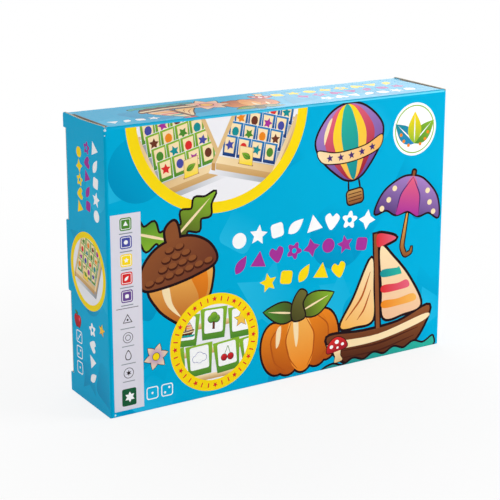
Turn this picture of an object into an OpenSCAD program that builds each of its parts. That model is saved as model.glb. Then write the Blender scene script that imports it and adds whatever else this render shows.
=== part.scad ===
// Flip-up picture guessing game in its tuck-end carton, as it stands on a shelf.
// X runs along the carton's width, Y from its front face to its back, Z upwards.
// The origin is the middle of the base. Two wooden frames stand inside, side by side,
// each with four rods that carry four hanging picture holders.

/* [Carton] */
// Width of the closed carton, outside both end panels
box_w = 340; // [310:1:400]
// Height of the carton as it stands
box_h = 242; // [225:1:290]
// Depth of the sleeve, front face to back face
box_d = 76; // [72:1:110]
// Thickness of the fluted board
board_t = 1.5; // [1.2:0.1:2.2]
// Outer radius where the board is folded
fold_r = 1.2; // [0.6:0.1:2]
// Depth of the glued flap that lies on the bottom panel
glue_flap_d = 30; // [15:1:40]
// How far each end of the glued flap is cut back from the sleeve's end
glue_flap_setback = 12; // [6:1:40]

/* [Ends] */
// How far the end panels stand above the top panel
end_rise = 0.8; // [0:0.1:1.5]
// How far the lock tab and shoulders stand out behind the back panel
tab_out = 1; // [0.3:0.1:3]
// Length of the lock tab half way up each end panel
tab_l = 62; // [30:1:90]
// Corner radius of the lock tab
tab_r = 1.5; // [0.5:0.1:3]
// Length of the shoulder above the tuck flap
shoulder_top = 12; // [8:1:25]
// Length of the shoulder below the tuck flap
shoulder_bottom = 17; // [8:1:25]
// Length of the tuck flap, from fold to tip
tuck_l = 18; // [12:1:22]
// Corner radius of the tuck flap's tip
tuck_r = 8; // [2:1:12]
// Free space between the tuck flap and the back panel
tuck_gap = 1; // [0.8:0.1:2]
// Slit between the tuck flap and its shoulders and tab
slit_w = 0.6; // [0.3:0.1:1.5]
// Length of each dust flap, from fold to tip
dust_l = 45; // [30:1:70]
// How far the dust flap's straight edge stays from the back face
dust_back_gap = 11; // [9:1:20]
// Free space between a dust flap and the end panel over it
dust_gap = 0.2; // [0.1:0.1:0.6]

/* [Wooden frames] */
// Height of the side rails above the table
rail_d = 24; // [18:1:28]
// Width of each side rail
rail_w = 12; // [8:1:16]
// Corner radius at the side rails' ends
rail_end_r = 9; // [3:1:9]
// Height of the front and back rails
cross_d = 20; // [16:1:22]
// Width of the front rail
front_rail_w = 18; // [12:1:24]
// Width of the back rail
back_rail_w = 11; // [8:1:16]
// How far the side rails run on past the front and back rails
rail_overrun = 5; // [2:1:10]
// Rounding along the front rail's upper edges
rail_edge_r = 3; // [1:0.5:5]
// Depth of the card slot in the front rail
slot_depth = 9; // [5:1:12]
// Free space on each face of a card standing in the slot
slot_slack = 0.7; // [0.3:0.1:1.5]

/* [Rods and holders] */
// Rows of holders on each frame
rows = 4; // [3:1:5]
// Holders in each row
columns = 4; // [3:1:5]
// Radius of each rod
rod_r = 3; // [2:0.1:4]
// Height of the rods above the table
rod_height = 12; // [9:1:14]
// How deep each rod end sits in its side rail
rod_seat = 6; // [4:1:8]
// Radial clearance of a holder on its rod
rod_clearance = 0.05; // [0.02:0.01:0.1]
// Wall of the barrels that turn on the rod
barrel_wall = 1.15; // [0.8:0.05:1.6]
// Length of each barrel
barrel_l = 7; // [4:0.5:10]
// Free space between neighbouring holders in a row
holder_gap = 1.6; // [0.8:0.1:3]
// Free space between a hanging holder and what lies below it
row_gap = 1.8; // [1:0.1:4]
// Thickness of a holder's plate
plate_t = 2; // [1.2:0.1:3]
// How much narrower the plate is at the rod, on each side
plate_taper = 3; // [0:0.5:6]
// Offset of the plate's face from the rod axis
plate_offset = 0.2; // [0:0.1:1]
// Height of the pocket that grips the card
pocket_h = 10; // [6:0.5:16]
// Thickness of the pocket's walls
pocket_wall = 1.2; // [0.8:0.1:2]

/* [Cards and leaflet] */
// Thickness of a picture card
card_t = 0.8; // [0.4:0.1:1.2]
// Free space on each face of a card in a holder's pocket
card_slack = 0.15; // [0.05:0.05:0.4]
// How far a card's tip stays inside the holder's tip
card_inset = 1; // [0:0.5:5]
// Width of a loose card
loose_card_w = 32; // [24:1:40]
// Height of a loose card
loose_card_h = 46; // [36:1:60]
// Thickness of a loose card
loose_card_t = 0.75; // [0.4:0.05:1.2]
// Cards in each stack
stack_count = 16; // [8:1:18]
// Air between two cards of a stack
stack_air = 0.05; // [0.02:0.01:0.1]
// Width of the folded leaflet
leaflet_w = 140; // [90:1:148]
// Height of the folded leaflet
leaflet_h = 200; // [120:1:210]
// Thickness of the folded leaflet
leaflet_t = 0.8; // [0.4:0.1:2]

/* [Packing clearances] */
// Free space between a frame and the dust flaps beside it
end_gap = 1.5; // [0.5:0.1:4]
// Free space between the two frames
middle_gap = 3; // [1:0.5:8]
// Free space above the frames
head_gap = 3.5; // [1:0.5:8]
// Free space between the frames' undersides and the tuck flaps
back_gap = 0.5; // [0.3:0.1:3]
// Free space between the front panel and the cards and leaflet
front_gap = 0.3; // [0.1:0.1:1]
// Distance from each side of the carton to the things packed before a frame
loose_inset = 20; // [12:1:30]
// Space between the two card stacks
stack_gap = 8; // [4:1:15]

/* [Hidden] */
$fn = 64;
cut = 1; // how far a cutting solid runs past the face it cuts
rod_glue = 0.05; // radial room for glue round a seated rod

y_front = -(box_d + tab_out) / 2;
y_back = y_front + box_d;
y_back_inside = y_back - board_t;
x_end = box_w / 2 - board_t; // the sleeve's open ends, either side
y_tuck = y_back_inside - tuck_gap - board_t; // the tuck flap's inner face
y_fold = y_tuck + board_t; // the end panel's back edge at the fold
y_tab = y_fold - board_t - 2 * tab_r; // the lock tab's outline starts inside the panel
z_tab = (box_h - tab_l) / 2;
z_tuck_low = shoulder_bottom + slit_w;
z_tuck_high = box_h - shoulder_top - slit_w;
tuck_notch = y_back + tab_out - y_fold + slit_w; // the hole that the tab leaves in the flap

x_dust = x_end - dust_gap; // outer face of a closed dust flap
y_dust_front = y_front + 2 * board_t;
y_dust_back = y_back - dust_back_gap;
dust_bevel = dust_l / 2 + board_t; // keeps the flap clear of the end panel that swings open

y_table = y_tuck - back_gap; // underside of both frames
z_seat = 2 * board_t; // on the glued flap
frame_x = middle_gap / 2; // inner side of each frame
frame_w = x_dust - board_t - end_gap - frame_x;
frame_l = box_h - board_t - head_gap - z_seat;
bay_w = frame_w - 2 * rail_w; // between the side rails
bay_z = rail_overrun + front_rail_w; // upper side of the front rail
back_z = frame_l - rail_overrun - back_rail_w; // lower side of the back rail

barrel_r = rod_r + rod_clearance + barrel_wall;
row_pitch = (back_z - bay_z - row_gap) / rows;
holder_l = row_pitch - barrel_r - row_gap;
holder_pitch = (bay_w - holder_gap) / columns;
holder_w = holder_pitch - holder_gap;
plate_start = barrel_r - barrel_wall / 2; // where the plate leaves the barrels
pocket_z = barrel_r + holder_gap / 8; // pocket floor, measured from the rod
pocket_room = card_t + 2 * card_slack;
card_w = holder_w - 2 * plate_taper - 2 * pocket_wall - 2 * card_slack;

slot_w = loose_card_w + 4 * slot_slack;
slot_t = loose_card_t + 2 * slot_slack;
stack_d = stack_count * (loose_card_t + stack_air) - stack_air;
y_loose = y_front + board_t + front_gap;

SIDES = [["green", -1], ["blue", 1]];
ENDS = [["left", -1], ["right", 1]];
LEVELS = [["top", 1], ["bottom", 0]];

// ---- shared shapes ----

// A rectangle with its low corner at p and all four corners rounded
module round_rect(p, size, r) {
    translate([p[0] + r, p[1]]) square([size[0] - 2 * r, size[1]]);
    translate([p[0], p[1] + r]) square([size[0], size[1] - 2 * r]);
    for (x = [r, size[0] - r])
        for (y = [r, size[1] - r])
            translate([p[0] + x, p[1] + y]) circle(r);
}

// Extrudes a Y-Z outline along X, from x to x + length
module along_x(x, length) {
    translate([x, 0, 0]) rotate([90, 0, 90]) linear_extrude(length) children();
}

// Carries a solid drawn at the left end over to the side asked for
module at_end(side) {
    mirror([side > 0 ? 1 : 0, 0, 0]) children();
}

// Carries a solid drawn at the top of the carton over to the level asked for
module at_level(top) {
    translate([0, 0, top > 0 ? 0 : box_h]) mirror([0, 0, top > 0 ? 0 : 1]) children();
}

// Places what is drawn on a frame lying on its table: X from the inner side, Y up, Z from the front
module on_frame(side) {
    mirror([side > 0 ? 0 : 1, 0, 0])
        translate([frame_x, y_table, z_seat])
            mirror([0, 1, 0]) children();
}

function rod_z(row) = bay_z + row_gap + holder_l + (row - 1) * row_pitch;
function holder_x(column) = rail_w + holder_gap + (column - 1) * holder_pitch;

// ---- carton ----

// Four panels in one piece with the glued flap, notched where the dust flaps fold
module sleeve() {
    color("deepskyblue") difference() {
        union() {
            along_x(-x_end, 2 * x_end) difference() {
                round_rect([y_front, 0], [box_d, box_h], fold_r);
                translate([y_front + board_t, board_t])
                    square([box_d - 2 * board_t, box_h - 2 * board_t]);
            }
            translate([-x_end + glue_flap_setback, y_back_inside - glue_flap_d, board_t])
                cube([2 * (x_end - glue_flap_setback), glue_flap_d, board_t]);
        }
        for (e = ENDS)
            for (v = LEVELS)
                at_end(e[1]) at_level(v[1])
                    translate([-x_end - cut, y_dust_front, box_h - board_t])
                        cube([cut + dust_gap + board_t, y_dust_back - y_dust_front, board_t + cut]);
    }
}

// The end panel's cross-section, with the front fold rounded
module end_panel_section() {
    translate([-box_w / 2, y_front + fold_r]) square([board_t, box_d + tab_out - fold_r]);
    translate([-box_w / 2 + fold_r, y_front]) square([board_t - fold_r, box_d]);
    intersection() {
        translate([-box_w / 2 + fold_r, y_front + fold_r]) circle(fold_r);
        translate([-box_w / 2, y_front]) square([board_t, box_d]);
    }
}

// A stretch of the end panel's back edge cut back to the fold line
module fold_cut(z_low, z_high) {
    translate([-box_w / 2 - cut, y_fold, z_low])
        cube([board_t + 2 * cut, tab_out + box_d, z_high - z_low]);
}

// End panel with two shoulders and a lock tab along its back edge
module end_panel(side) {
    color("dodgerblue") at_end(side) {
        difference() {
            linear_extrude(box_h + end_rise) end_panel_section();
            fold_cut(shoulder_bottom, box_h - shoulder_top);
        }
        along_x(-box_w / 2, board_t) intersection() {
            round_rect([y_tab, z_tab], [y_back + tab_out - y_tab, tab_l], tab_r);
            translate([y_fold - board_t, z_tab]) square([box_d, tab_l]);
        }
    }
}

// Flap that slides in behind the back panel, with a hole where the lock tab was cut from it
module tuck_flap(side) {
    color("white") at_end(side)
        translate([0, y_fold, 0]) rotate([90, 0, 0]) linear_extrude(board_t) difference() {
            union() {
                round_rect([-x_end, z_tuck_low], [tuck_l, z_tuck_high - z_tuck_low], tuck_r);
                translate([-x_end, z_tuck_low]) square([tuck_l / 2, z_tuck_high - z_tuck_low]);
            }
            translate([-x_end - cut, z_tab - slit_w]) square([tuck_notch + cut, tab_l + 2 * slit_w]);
        }
}

// Bevelled flap from the top or bottom panel, folded down behind the end panel
module dust_flap(side, top) {
    color("white") at_end(side) at_level(top) along_x(-x_dust, board_t)
        polygon([
            [y_dust_front, box_h],
            [y_dust_front + dust_bevel, box_h - dust_l],
            [y_dust_back - fold_r, box_h - dust_l],
            [y_dust_back, box_h - dust_l + fold_r],
            [y_dust_back, box_h]
        ]);
}

// ---- wooden frames ----

// Side rail with blind holes for the rod ends; x is its low side, hole_x the face it is drilled from
module side_rail(x, hole_x) {
    color("burlywood") difference() {
        along_x(x, rail_w) round_rect([0, 0], [rail_d, frame_l], rail_end_r);
        for (r = [1:rows])
            translate([hole_x, rod_height, rod_z(r)]) rotate([0, 90, 0])
                cylinder(r = rod_r + rod_glue, h = 2 * (rod_seat + rod_glue), center = true);
    }
}

module rail_inner(side) {
    on_frame(side) side_rail(0, rail_w);
}

module rail_outer(side) {
    on_frame(side) side_rail(frame_w - rail_w, frame_w - rail_w);
}

// Front rail, rounded along its upper edges, with the slot that holds one card upright
module front_rail(side) {
    color("burlywood") on_frame(side) difference() {
        along_x(rail_w, bay_w) union() {
            translate([0, rail_overrun]) square([cross_d - rail_edge_r, front_rail_w]);
            round_rect([0, rail_overrun], [cross_d, front_rail_w], rail_edge_r);
        }
        translate([
            (frame_w - slot_w) / 2, cross_d - slot_depth, rail_overrun + (front_rail_w - slot_t) / 2
        ]) cube([slot_w, slot_depth + cut, slot_t]);
    }
}

module back_rail(side) {
    color("burlywood") on_frame(side)
        translate([rail_w, 0, back_z]) cube([bay_w, cross_d, back_rail_w]);
}

module rods(side) {
    color("wheat") on_frame(side)
        for (r = [1:rows])
            translate([rail_w - rod_seat, rod_height, rod_z(r)]) rotate([0, 90, 0])
                cylinder(r = rod_r, h = bay_w + 2 * rod_seat);
}

// ---- holders ----

// The holder's outline, from the rod down to the tip, with half its width taken in at the rod
module holder_outline(start, end) {
    lean = plate_taper / holder_l;
    polygon([
        [plate_taper - lean * start, -start],
        [holder_w - plate_taper + lean * start, -start],
        [holder_w - plate_taper + lean * end, -end],
        [plate_taper - lean * end, -end]
    ]);
}

// Extrudes a holder outline upwards from height y above the rod axis
module holder_slab(y, thickness) {
    translate([0, y + thickness, 0]) rotate([90, 0, 0]) linear_extrude(thickness) children();
}

// Plate, card pocket and two barrels that turn on the rod; the rod axis is at Y = 0, Z = 0
module holder_body() {
    difference() {
        union() {
            holder_slab(plate_offset, plate_t) holder_outline(plate_start, holder_l);
            holder_slab(plate_offset - pocket_room - pocket_wall, pocket_room + pocket_wall)
                holder_outline(pocket_z, pocket_z + pocket_wall + pocket_h);
            for (x = [plate_taper, holder_w - plate_taper - barrel_l])
                translate([x, 0, 0]) rotate([0, 90, 0]) cylinder(r = barrel_r, h = barrel_l);
        }
        translate([(holder_w - card_w) / 2 - card_slack, plate_offset - pocket_room, -holder_l])
            cube([card_w + 2 * card_slack, pocket_room, holder_l - pocket_z - pocket_wall]);
        translate([-cut, 0, 0]) rotate([0, 90, 0])
            cylinder(r = rod_r + rod_clearance, h = holder_w + 2 * cut);
    }
}

// Picture card standing in the pocket
module holder_card() {
    card_h = holder_l - card_inset - pocket_z - pocket_wall - card_slack;
    translate([(holder_w - card_w) / 2, plate_offset - card_slack - card_t, -holder_l + card_inset])
        cube([card_w, card_t, card_h]);
}

module holder(side, row, column) {
    on_frame(side) translate([holder_x(column), rod_height, rod_z(row)]) {
        color(side < 0 ? "yellowgreen" : "steelblue") holder_body();
        color("ivory") holder_card();
    }
}

// ---- cards and leaflet ----

// Loose cards standing face to back on the bottom panel; x is the stack's left side
module card_stack(x) {
    color("ivory")
        for (i = [0:stack_count - 1])
            translate([x, y_loose + i * (loose_card_t + stack_air), board_t])
                cube([loose_card_w, loose_card_t, loose_card_h]);
}

module picture_cards() {
    card_stack(-box_w / 2 + loose_inset);
}

module blank_cards() {
    card_stack(-box_w / 2 + loose_inset + loose_card_w + stack_gap);
}

module leaflet() {
    color("white") translate([box_w / 2 - loose_inset - leaflet_w, y_loose, board_t])
        cube([leaflet_w, leaflet_t, leaflet_h]);
}

// ---- parts ----

sleeve();
for (e = ENDS) {
    end_panel(e[1]);
    tuck_flap(e[1]);
    for (v = LEVELS)
        dust_flap(e[1], v[1]);
}
for (s = SIDES) {
    rail_outer(s[1]);
    rail_inner(s[1]);
    front_rail(s[1]);
    back_rail(s[1]);
    rods(s[1]);
    for (r = [1:rows])
        for (c = [1:columns])
            holder(s[1], r, c);
}
picture_cards();
blank_cards();
leaflet();
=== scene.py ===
import math
import bmesh
import bpy
import numpy as np
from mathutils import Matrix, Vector, geometry


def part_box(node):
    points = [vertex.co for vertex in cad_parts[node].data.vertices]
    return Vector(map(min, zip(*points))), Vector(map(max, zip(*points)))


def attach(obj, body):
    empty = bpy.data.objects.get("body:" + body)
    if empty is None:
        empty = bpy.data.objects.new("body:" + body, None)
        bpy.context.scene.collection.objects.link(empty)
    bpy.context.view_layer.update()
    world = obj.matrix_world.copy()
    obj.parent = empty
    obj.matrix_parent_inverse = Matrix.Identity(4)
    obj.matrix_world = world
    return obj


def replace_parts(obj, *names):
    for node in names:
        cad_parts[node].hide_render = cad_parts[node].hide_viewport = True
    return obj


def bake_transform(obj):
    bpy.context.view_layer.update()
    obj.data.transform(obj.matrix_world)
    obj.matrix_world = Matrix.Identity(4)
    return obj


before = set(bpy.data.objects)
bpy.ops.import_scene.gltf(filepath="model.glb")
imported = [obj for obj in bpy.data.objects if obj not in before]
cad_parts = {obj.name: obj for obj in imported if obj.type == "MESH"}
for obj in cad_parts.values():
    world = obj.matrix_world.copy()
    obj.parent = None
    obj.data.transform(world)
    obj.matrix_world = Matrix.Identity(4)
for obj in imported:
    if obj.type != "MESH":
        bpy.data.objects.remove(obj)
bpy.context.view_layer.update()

mm = 0.001  # lengths below are millimetres until a mesh is filled


def measured(node):
    # the low and high corner of a CAD node's box
    return np.array(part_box(node)) / mm


def nodePoints(node):
    # all points of a CAD node, one in each row
    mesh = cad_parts[node].data
    places = np.empty(len(mesh.vertices) * 3)
    mesh.vertices.foreach_get("co", places)
    return places.reshape(-1, 3) / mm


def toLinear(code):
    # sRGB hex to linear: the lower part is straight, the rest a power of 2.4
    s = np.array([int(code[i:i + 2], 16) for i in (1, 3, 5)]) / 255
    return np.where(s <= 0.04045, s / 12.92, ((s + 0.055) / 1.055) ** 2.4)


def rgba(code):
    return (*toLinear(code), 1.0)


sleeve, endPanel, tuck = measured("sleeve"), measured("end_panel_left"), measured("tuck_flap_left")
dust = measured("dust_flap_left_top")
endPoints = nodePoints("end_panel_left")
onBackEdge = endPoints[:, 1] > endPanel[1, 1] - 0.01
tabEdge = np.unique(endPoints[onBackEdge][:, 2].round(3))  # heights at which the end panel's back edge steps
tabRadius = 1.5
carton = dict(
    end=-endPanel[0, 0],  # outer face of both end panels
    height=sleeve[1, 2],
    top=endPanel[1, 2],
    front=sleeve[0, 1],
    back=sleeve[1, 1],
    tab=endPanel[1, 1],  # how far back the lock tabs reach
    board=endPanel[1, 0] - endPanel[0, 0],
    open=sleeve[1, 0],  # the sleeve's open ends, either side
    fold=2.0,  # outer radius of a creased fold
    leadIn=0.3,  # flat stretch at each side of a crease strip
    footGap=0.1,  # the bottom panel's free edge lies this far inside the back
    glueFlap=30.0,
    glueSetback=12.0,
    glueSlant=4.0,
    dustInset=1.2,  # gap that shows dark between a dust flap and the end panel
    headSag=dict(left=(0.9, 0.0), right=(0.0, 0.8)),  # dip of an end panel's upper edge, middle and front
    shoulderLow=tabEdge[1],
    shoulderHigh=tabEdge[-2],
    tabRadius=tabRadius,
    tabLow=tabEdge[2] - tabRadius,
    tabHigh=tabEdge[-3] + tabRadius,
    tabGap=0.6,  # between a lock tab and the tuck flap round it
)
board, fold = carton["board"], carton["fold"]
crease = fold - board  # inner radius of a fold
depth = carton["back"] - carton["front"]
foldArc = fold * math.pi / 2  # length of print round a fold
print("measures", {k: round(float(v), 2) for k, v in carton.items() if k != "headSag"})

inks = dict(
    cyan="#00AFDC", mist="#0095C5", sky="#25BCE6", glint="#6ADDF8", paper="#F3F2F6", strip="#E2DFEA",
    white="#FFFFFF", yellow="#FFDE17", magenta="#A8369A", green="#8DBB33", leaf="#4E8B34", pine="#1F5B3A",
    olive="#6E6B35", moss="#4C4A26", navy="#25306E", indigo="#4A4FA3", blue="#2B86C4", teal="#1E8F94",
    mint="#2FB5A0", purple="#6C4A93", violet="#4B3170", lilac="#A983C6", red="#DE3030", wine="#9E1F2C",
    rose="#E8667F", orange="#F08A24", rust="#B5551A", amber="#F9B85A", cream="#FCE3B4", peach="#F3BE98",
    tan="#E3BE86", honey="#C99858", brown="#6F3A2A", cocoa="#8F5330", umber="#4A241A", dark="#24161A",
    grey="#8E959C", ghost="#B8DDEC",
    chip="#D9F3FA",  # bare board where the print has come off
    shade="#5A5348",  # unprinted board, painted dark as the shade in the dust flaps' folds
)
inkColour = {name: toLinear(code) for name, code in inks.items()}


def disc(x, y, rx, ry=None, n=40):
    # an ellipse: centre plus radii times cosine and sine
    a = np.linspace(0, 2 * np.pi, n, endpoint=False)
    return np.stack([x + rx * np.cos(a), y + (ry or rx) * np.sin(a)], 1)


def bar(x, y, w, h, r=0.0, n=5):
    # a rectangle centred on x, y, with a quarter circle of radius r at each corner
    if r <= 0:
        return np.array([[-0.5, -0.5], [0.5, -0.5], [0.5, 0.5], [-0.5, 0.5]]) * [w, h] + [x, y]
    a = np.linspace(0, np.pi / 2, n)
    corners = ((0, 1, 1), (np.pi / 2, -1, 1), (np.pi, -1, -1), (3 * np.pi / 2, 1, -1))
    return np.concatenate([
        np.stack([x + sx * (w / 2 - r) + r * np.cos(a + t), y + sy * (h / 2 - r) + r * np.sin(a + t)], 1)
        for t, sx, sy in corners
    ])


def star(x, y, r, points=5, inner=0.45, turn=90.0):
    # radii that alternate between the tips and the notches
    a = np.radians(turn) + np.arange(2 * points) * np.pi / points
    rad = np.where(np.arange(2 * points) % 2 == 0, r, r * inner)
    return np.stack([x + rad * np.cos(a), y + rad * np.sin(a)], 1)


def blade(x, y, length, width, turn=0.0, n=10):
    # a leaf: the half width is a sine of the way along it, skewed towards the stalk
    t = np.linspace(0, 1, n)
    half = width / 2 * np.sin(np.pi * t ** 0.8)
    side = np.concatenate([np.stack([t * length, half], 1), np.stack([t * length, -half], 1)[-2:0:-1]])
    return moved(side, x, y, 1, turn)


def soft(*points, n=6):
    # a closed Catmull-Rom curve through given points
    p = np.array(points, float)
    a, b, c, d = (q[:, None, :] for q in (np.roll(p, 1, 0), p, np.roll(p, -1, 0), np.roll(p, -2, 0)))
    t = (np.arange(n) / n)[None, :, None]
    bend, tail = 2 * a - 5 * b + 4 * c - d, 3 * b - a - 3 * c + d
    return (0.5 * (2 * b + (c - a) * t + bend * t ** 2 + tail * t ** 3)).reshape(-1, 2)


def evenly(*points, n=6):
    # a soft curve whose left side mirrors the right side given
    return soft(*points, *[(-x, y) for x, y in points[::-1] if x != 0], n=n)


def stroke(points, width, n=7):
    # a brush line through given points: the curve, offset each way by a half width that swells
    p = np.array(points, float)
    t = np.linspace(0, len(p) - 1, n * (len(p) - 1) + 1)
    path = np.stack([np.interp(t, np.arange(len(p)), p[:, i]) for i in (0, 1)], 1)
    for _ in range(3):
        path[1:-1] = (path[:-2] + path[1:-1] * 2 + path[2:]) / 4
    along = np.gradient(path, axis=0)
    along /= np.linalg.norm(along, axis=1)[:, None]
    half = (width / 2 * (0.25 + 0.75 * np.sin(np.pi * t / t[-1])))[:, None]
    side = np.stack([-along[:, 1], along[:, 0]], 1) * half
    return np.concatenate([path + side, (path - side)[::-1]])


def ring(outer, inner):
    # two loops as one outline: the even-odd rule leaves the inner one open
    return np.concatenate([outer, outer[:1], inner, inner[:1]])


def unitRows(v):
    return v / np.maximum(np.linalg.norm(v, axis=1), 1e-6)[:, None]


def grown(line, by):
    # each point moves out along the mean normal of its two edges
    ahead, behind = np.roll(line, -1, 0) - line, line - np.roll(line, 1, 0)
    along = unitRows(unitRows(ahead) + unitRows(behind))
    area = (line[:, 0] * np.roll(line[:, 1], -1) - line[:, 1] * np.roll(line[:, 0], -1)).sum()
    return line + by * np.sign(area) * np.stack([along[:, 1], -along[:, 0]], 1)


def moved(points, x, y, size, turn=0.0, flip=1):
    # scaled, turned anticlockwise and then moved; flip -1 mirrors left and right first
    a = math.radians(turn)
    turned = np.array([[math.cos(a), math.sin(a)], [-math.sin(a), math.cos(a)]])
    return points * [size * flip, size] @ turned + [x, y]


def fill(line, ink, to=None, turn=90.0):
    # a printed area: one ink, or a straight blend of two inks across it, in the direction of turn
    line = np.asarray(line, float)
    along = np.array([math.cos(math.radians(turn)), math.sin(math.radians(turn))])
    reach, middle = line @ along, line.mean(0)
    axis = np.array([middle + along * (edge - middle @ along) for edge in (reach.min(), reach.max())])
    return dict(line=line, ink=ink, to=to or ink, axis=axis, windows=[])


def fills(lines, *ink):
    return [fill(line, *ink) for line in lines]


def mapped(layers, move):
    # the same areas with each of their points moved by one rule
    return [{**layer, "line": move(layer["line"]), "axis": move(layer["axis"]),
             "windows": [move(window) for window in layer["windows"]]} for layer in layers]


def placed(layers, *where):
    # a drawing made in a square two units wide, put at x, y, half size, turn and flip
    return mapped(layers, lambda points: moved(points, *where))


def inked(parts, width, ink="dark"):
    # the parts with a drawn line round all of them together
    return [{**part, "line": grown(part["line"], width), "ink": ink, "to": ink} for part in parts] + parts


def clipped(layers, window):
    return [{**layer, "windows": [*layer["windows"], window]} for layer in layers]


def acorn():
    nut = evenly((0.56, 0.1), (0.54, -0.38), (0.2, -0.82), (0, -1.0))
    cap = soft((-0.74, 0.06), (-0.66, 0.42), (-0.28, 0.68), (0.28, 0.68), (0.66, 0.42), (0.74, 0.06),
               (0.3, -0.04), (-0.3, -0.04))
    stem = soft((-0.09, 0.6), (-0.1, 0.92), (0.08, 1.04), (0.14, 0.92), (0.1, 0.6))
    shade = soft((0.2, -0.02), (0.5, 0.02), (0.47, -0.4), (0.16, -0.8), (0.0, -0.93), (0.26, -0.5))
    shine = soft((-0.4, -0.08), (-0.26, -0.06), (-0.26, -0.4), (-0.16, -0.7), (-0.36, -0.42))
    scales = []
    for row in range(4):
        for i in range(7 - row):
            x, y = -0.6 + 0.1 * row + 0.2 * i, 0.1 + 0.15 * row
            if abs(x) < 0.62 - 0.12 * row:
                scales.append(fill(disc(x, y, 0.1, 0.07, 14), "umber"))
                scales.append(fill(disc(x, y + 0.02, 0.085, 0.05, 12), "cocoa"))
    side = [(0.16, 0.14), (0.3, 0.08), (0.44, 0.25), (0.6, 0.12), (0.76, 0.22), (0.9, 0.08)]
    oak = soft((0, 0), *side, (1.1, 0), *[(u, -v) for u, v in side[::-1]], n=4)
    leaves = []
    for turn, blend in ((30, ("moss", "green", 30)), (150, ("leaf", "green", 120))):
        leaf = inked([fill(oak, *blend)], 0.04) + [fill(blade(0.02, 0, 0.95, 0.05, 0, 6), "cream")]
        leaves += placed(leaf, 0, 0.7, 1.05, turn)
    body = inked([fill(nut, "rust", "amber", 75)], 0.05)
    body += [fill(shade, "rust", "orange", 60), fill(shine, "cream")]
    top = inked([fill(stem, "cocoa"), fill(cap, "brown", "cocoa", 120)], 0.05)
    return leaves + body + top + scales


def kite():
    tips, heart = np.array([[0, 1.0], [0.68, 0.28], [0, -0.85], [-0.68, 0.28]]), [0, 0.28]
    blends = (("red", "wine", 30), ("amber", "yellow", 90), ("indigo", "lilac", 100), ("orange", "amber", 60))
    quarters = [fill([tips[i], tips[(i + 1) % 4], heart], *blends[i]) for i in range(4)]
    quarters += [fill(disc(0.2, 0.42, 0.09, n=12), "yellow"), fill(disc(-0.2, 0.42, 0.09, n=12), "red"),
                 fill(star(-0.17, 0.02, 0.13), "white"), fill(star(0.17, 0.02, 0.13), "red")]
    tail = stroke([(0, -0.85), (0.22, -1.05), (0.02, -1.25), (0.26, -1.45), (0.12, -1.66)], 0.06)
    bows = []
    knots = ((0.16, -1.02, 20, "red"), (0.08, -1.24, -30, "yellow"), (0.2, -1.44, 25, "lilac"))
    for x, y, turn, ink in knots:
        bows += fills([blade(x, y, 0.22, 0.17, turn + side, 6) for side in (0, 180)], ink)
    return [fill(tail, "dark")] + inked(bows, 0.025) + inked([fill(tips, "red")], 0.05) + quarters


def boat():
    hull = soft((-0.98, -0.3), (-0.3, -0.36), (0.4, -0.36), (1.04, -0.22), (0.78, -0.7), (0.34, -0.86),
                (-0.36, -0.86), (-0.74, -0.72))
    planks = [stroke([(-0.86 + 0.06 * k, -0.46 - 0.12 * k), (0, -0.52 - 0.12 * k),
                      (0.88 - 0.08 * k, -0.42 - 0.12 * k)], 0.03) for k in (1, 2)]
    stripe = soft((-0.9, -0.4), (0, -0.47), (0.96, -0.34), (0.9, -0.46), (0, -0.58), (-0.86, -0.52))
    main = soft((0.09, 0.96), (0.1, 0.3), (0.12, -0.22), (0.5, -0.24), (0.86, -0.16), (0.64, 0.34),
                (0.32, 0.76))
    jib = soft((-0.09, 0.82), (-0.07, 0.3), (-0.1, -0.2), (-0.42, -0.24), (-0.72, -0.18), (-0.44, 0.24))
    flag = soft((0.03, 1.18), (0.2, 1.16), (0.4, 1.06), (0.22, 1.0), (0.03, 0.98), n=4)
    bands = [
        fill(soft((0.11, y), (0.45, y - 0.02), (0.76 - w, y), (0.71 - w, y + 0.12), (0.4, y + 0.1),
                  (0.11, y + 0.12)), *blend, 0)
        for y, w, blend in ((-0.06, 0.0, ("orange", "amber")), (0.2, 0.12, ("red", "rose")),
                            (0.46, 0.27, ("teal", "mint")))
    ]
    folds = [stroke([(-0.12, 0.6), (-0.3, 0.2), (-0.62, -0.1)], 0.035),
             stroke([(-0.12, 0.3), (-0.26, 0.0), (-0.4, -0.14)], 0.03)]
    parts = [fill(bar(0, 0.4, 0.07, 1.6), "cocoa"), fill(flag, "red", "rose", 0),
             fill(main, "peach", "cream", 70), fill(jib, "amber", "cream", 60),
             fill(hull, "umber", "cocoa", 80)]
    crests = [(x, -0.84 + 0.07 * (i % 2)) for i, x in enumerate(np.linspace(-1.1, 1.1, 12))]
    waves = [fill(soft(*crests, (0.9, -1.0), (-0.9, -1.0)), "teal", "mint", 0)]
    return (inked(parts, 0.045) + bands + fills(folds, "rust") + [fill(stripe, "cream")]
            + fills(planks, "umber") + inked(waves, 0.035))


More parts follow.
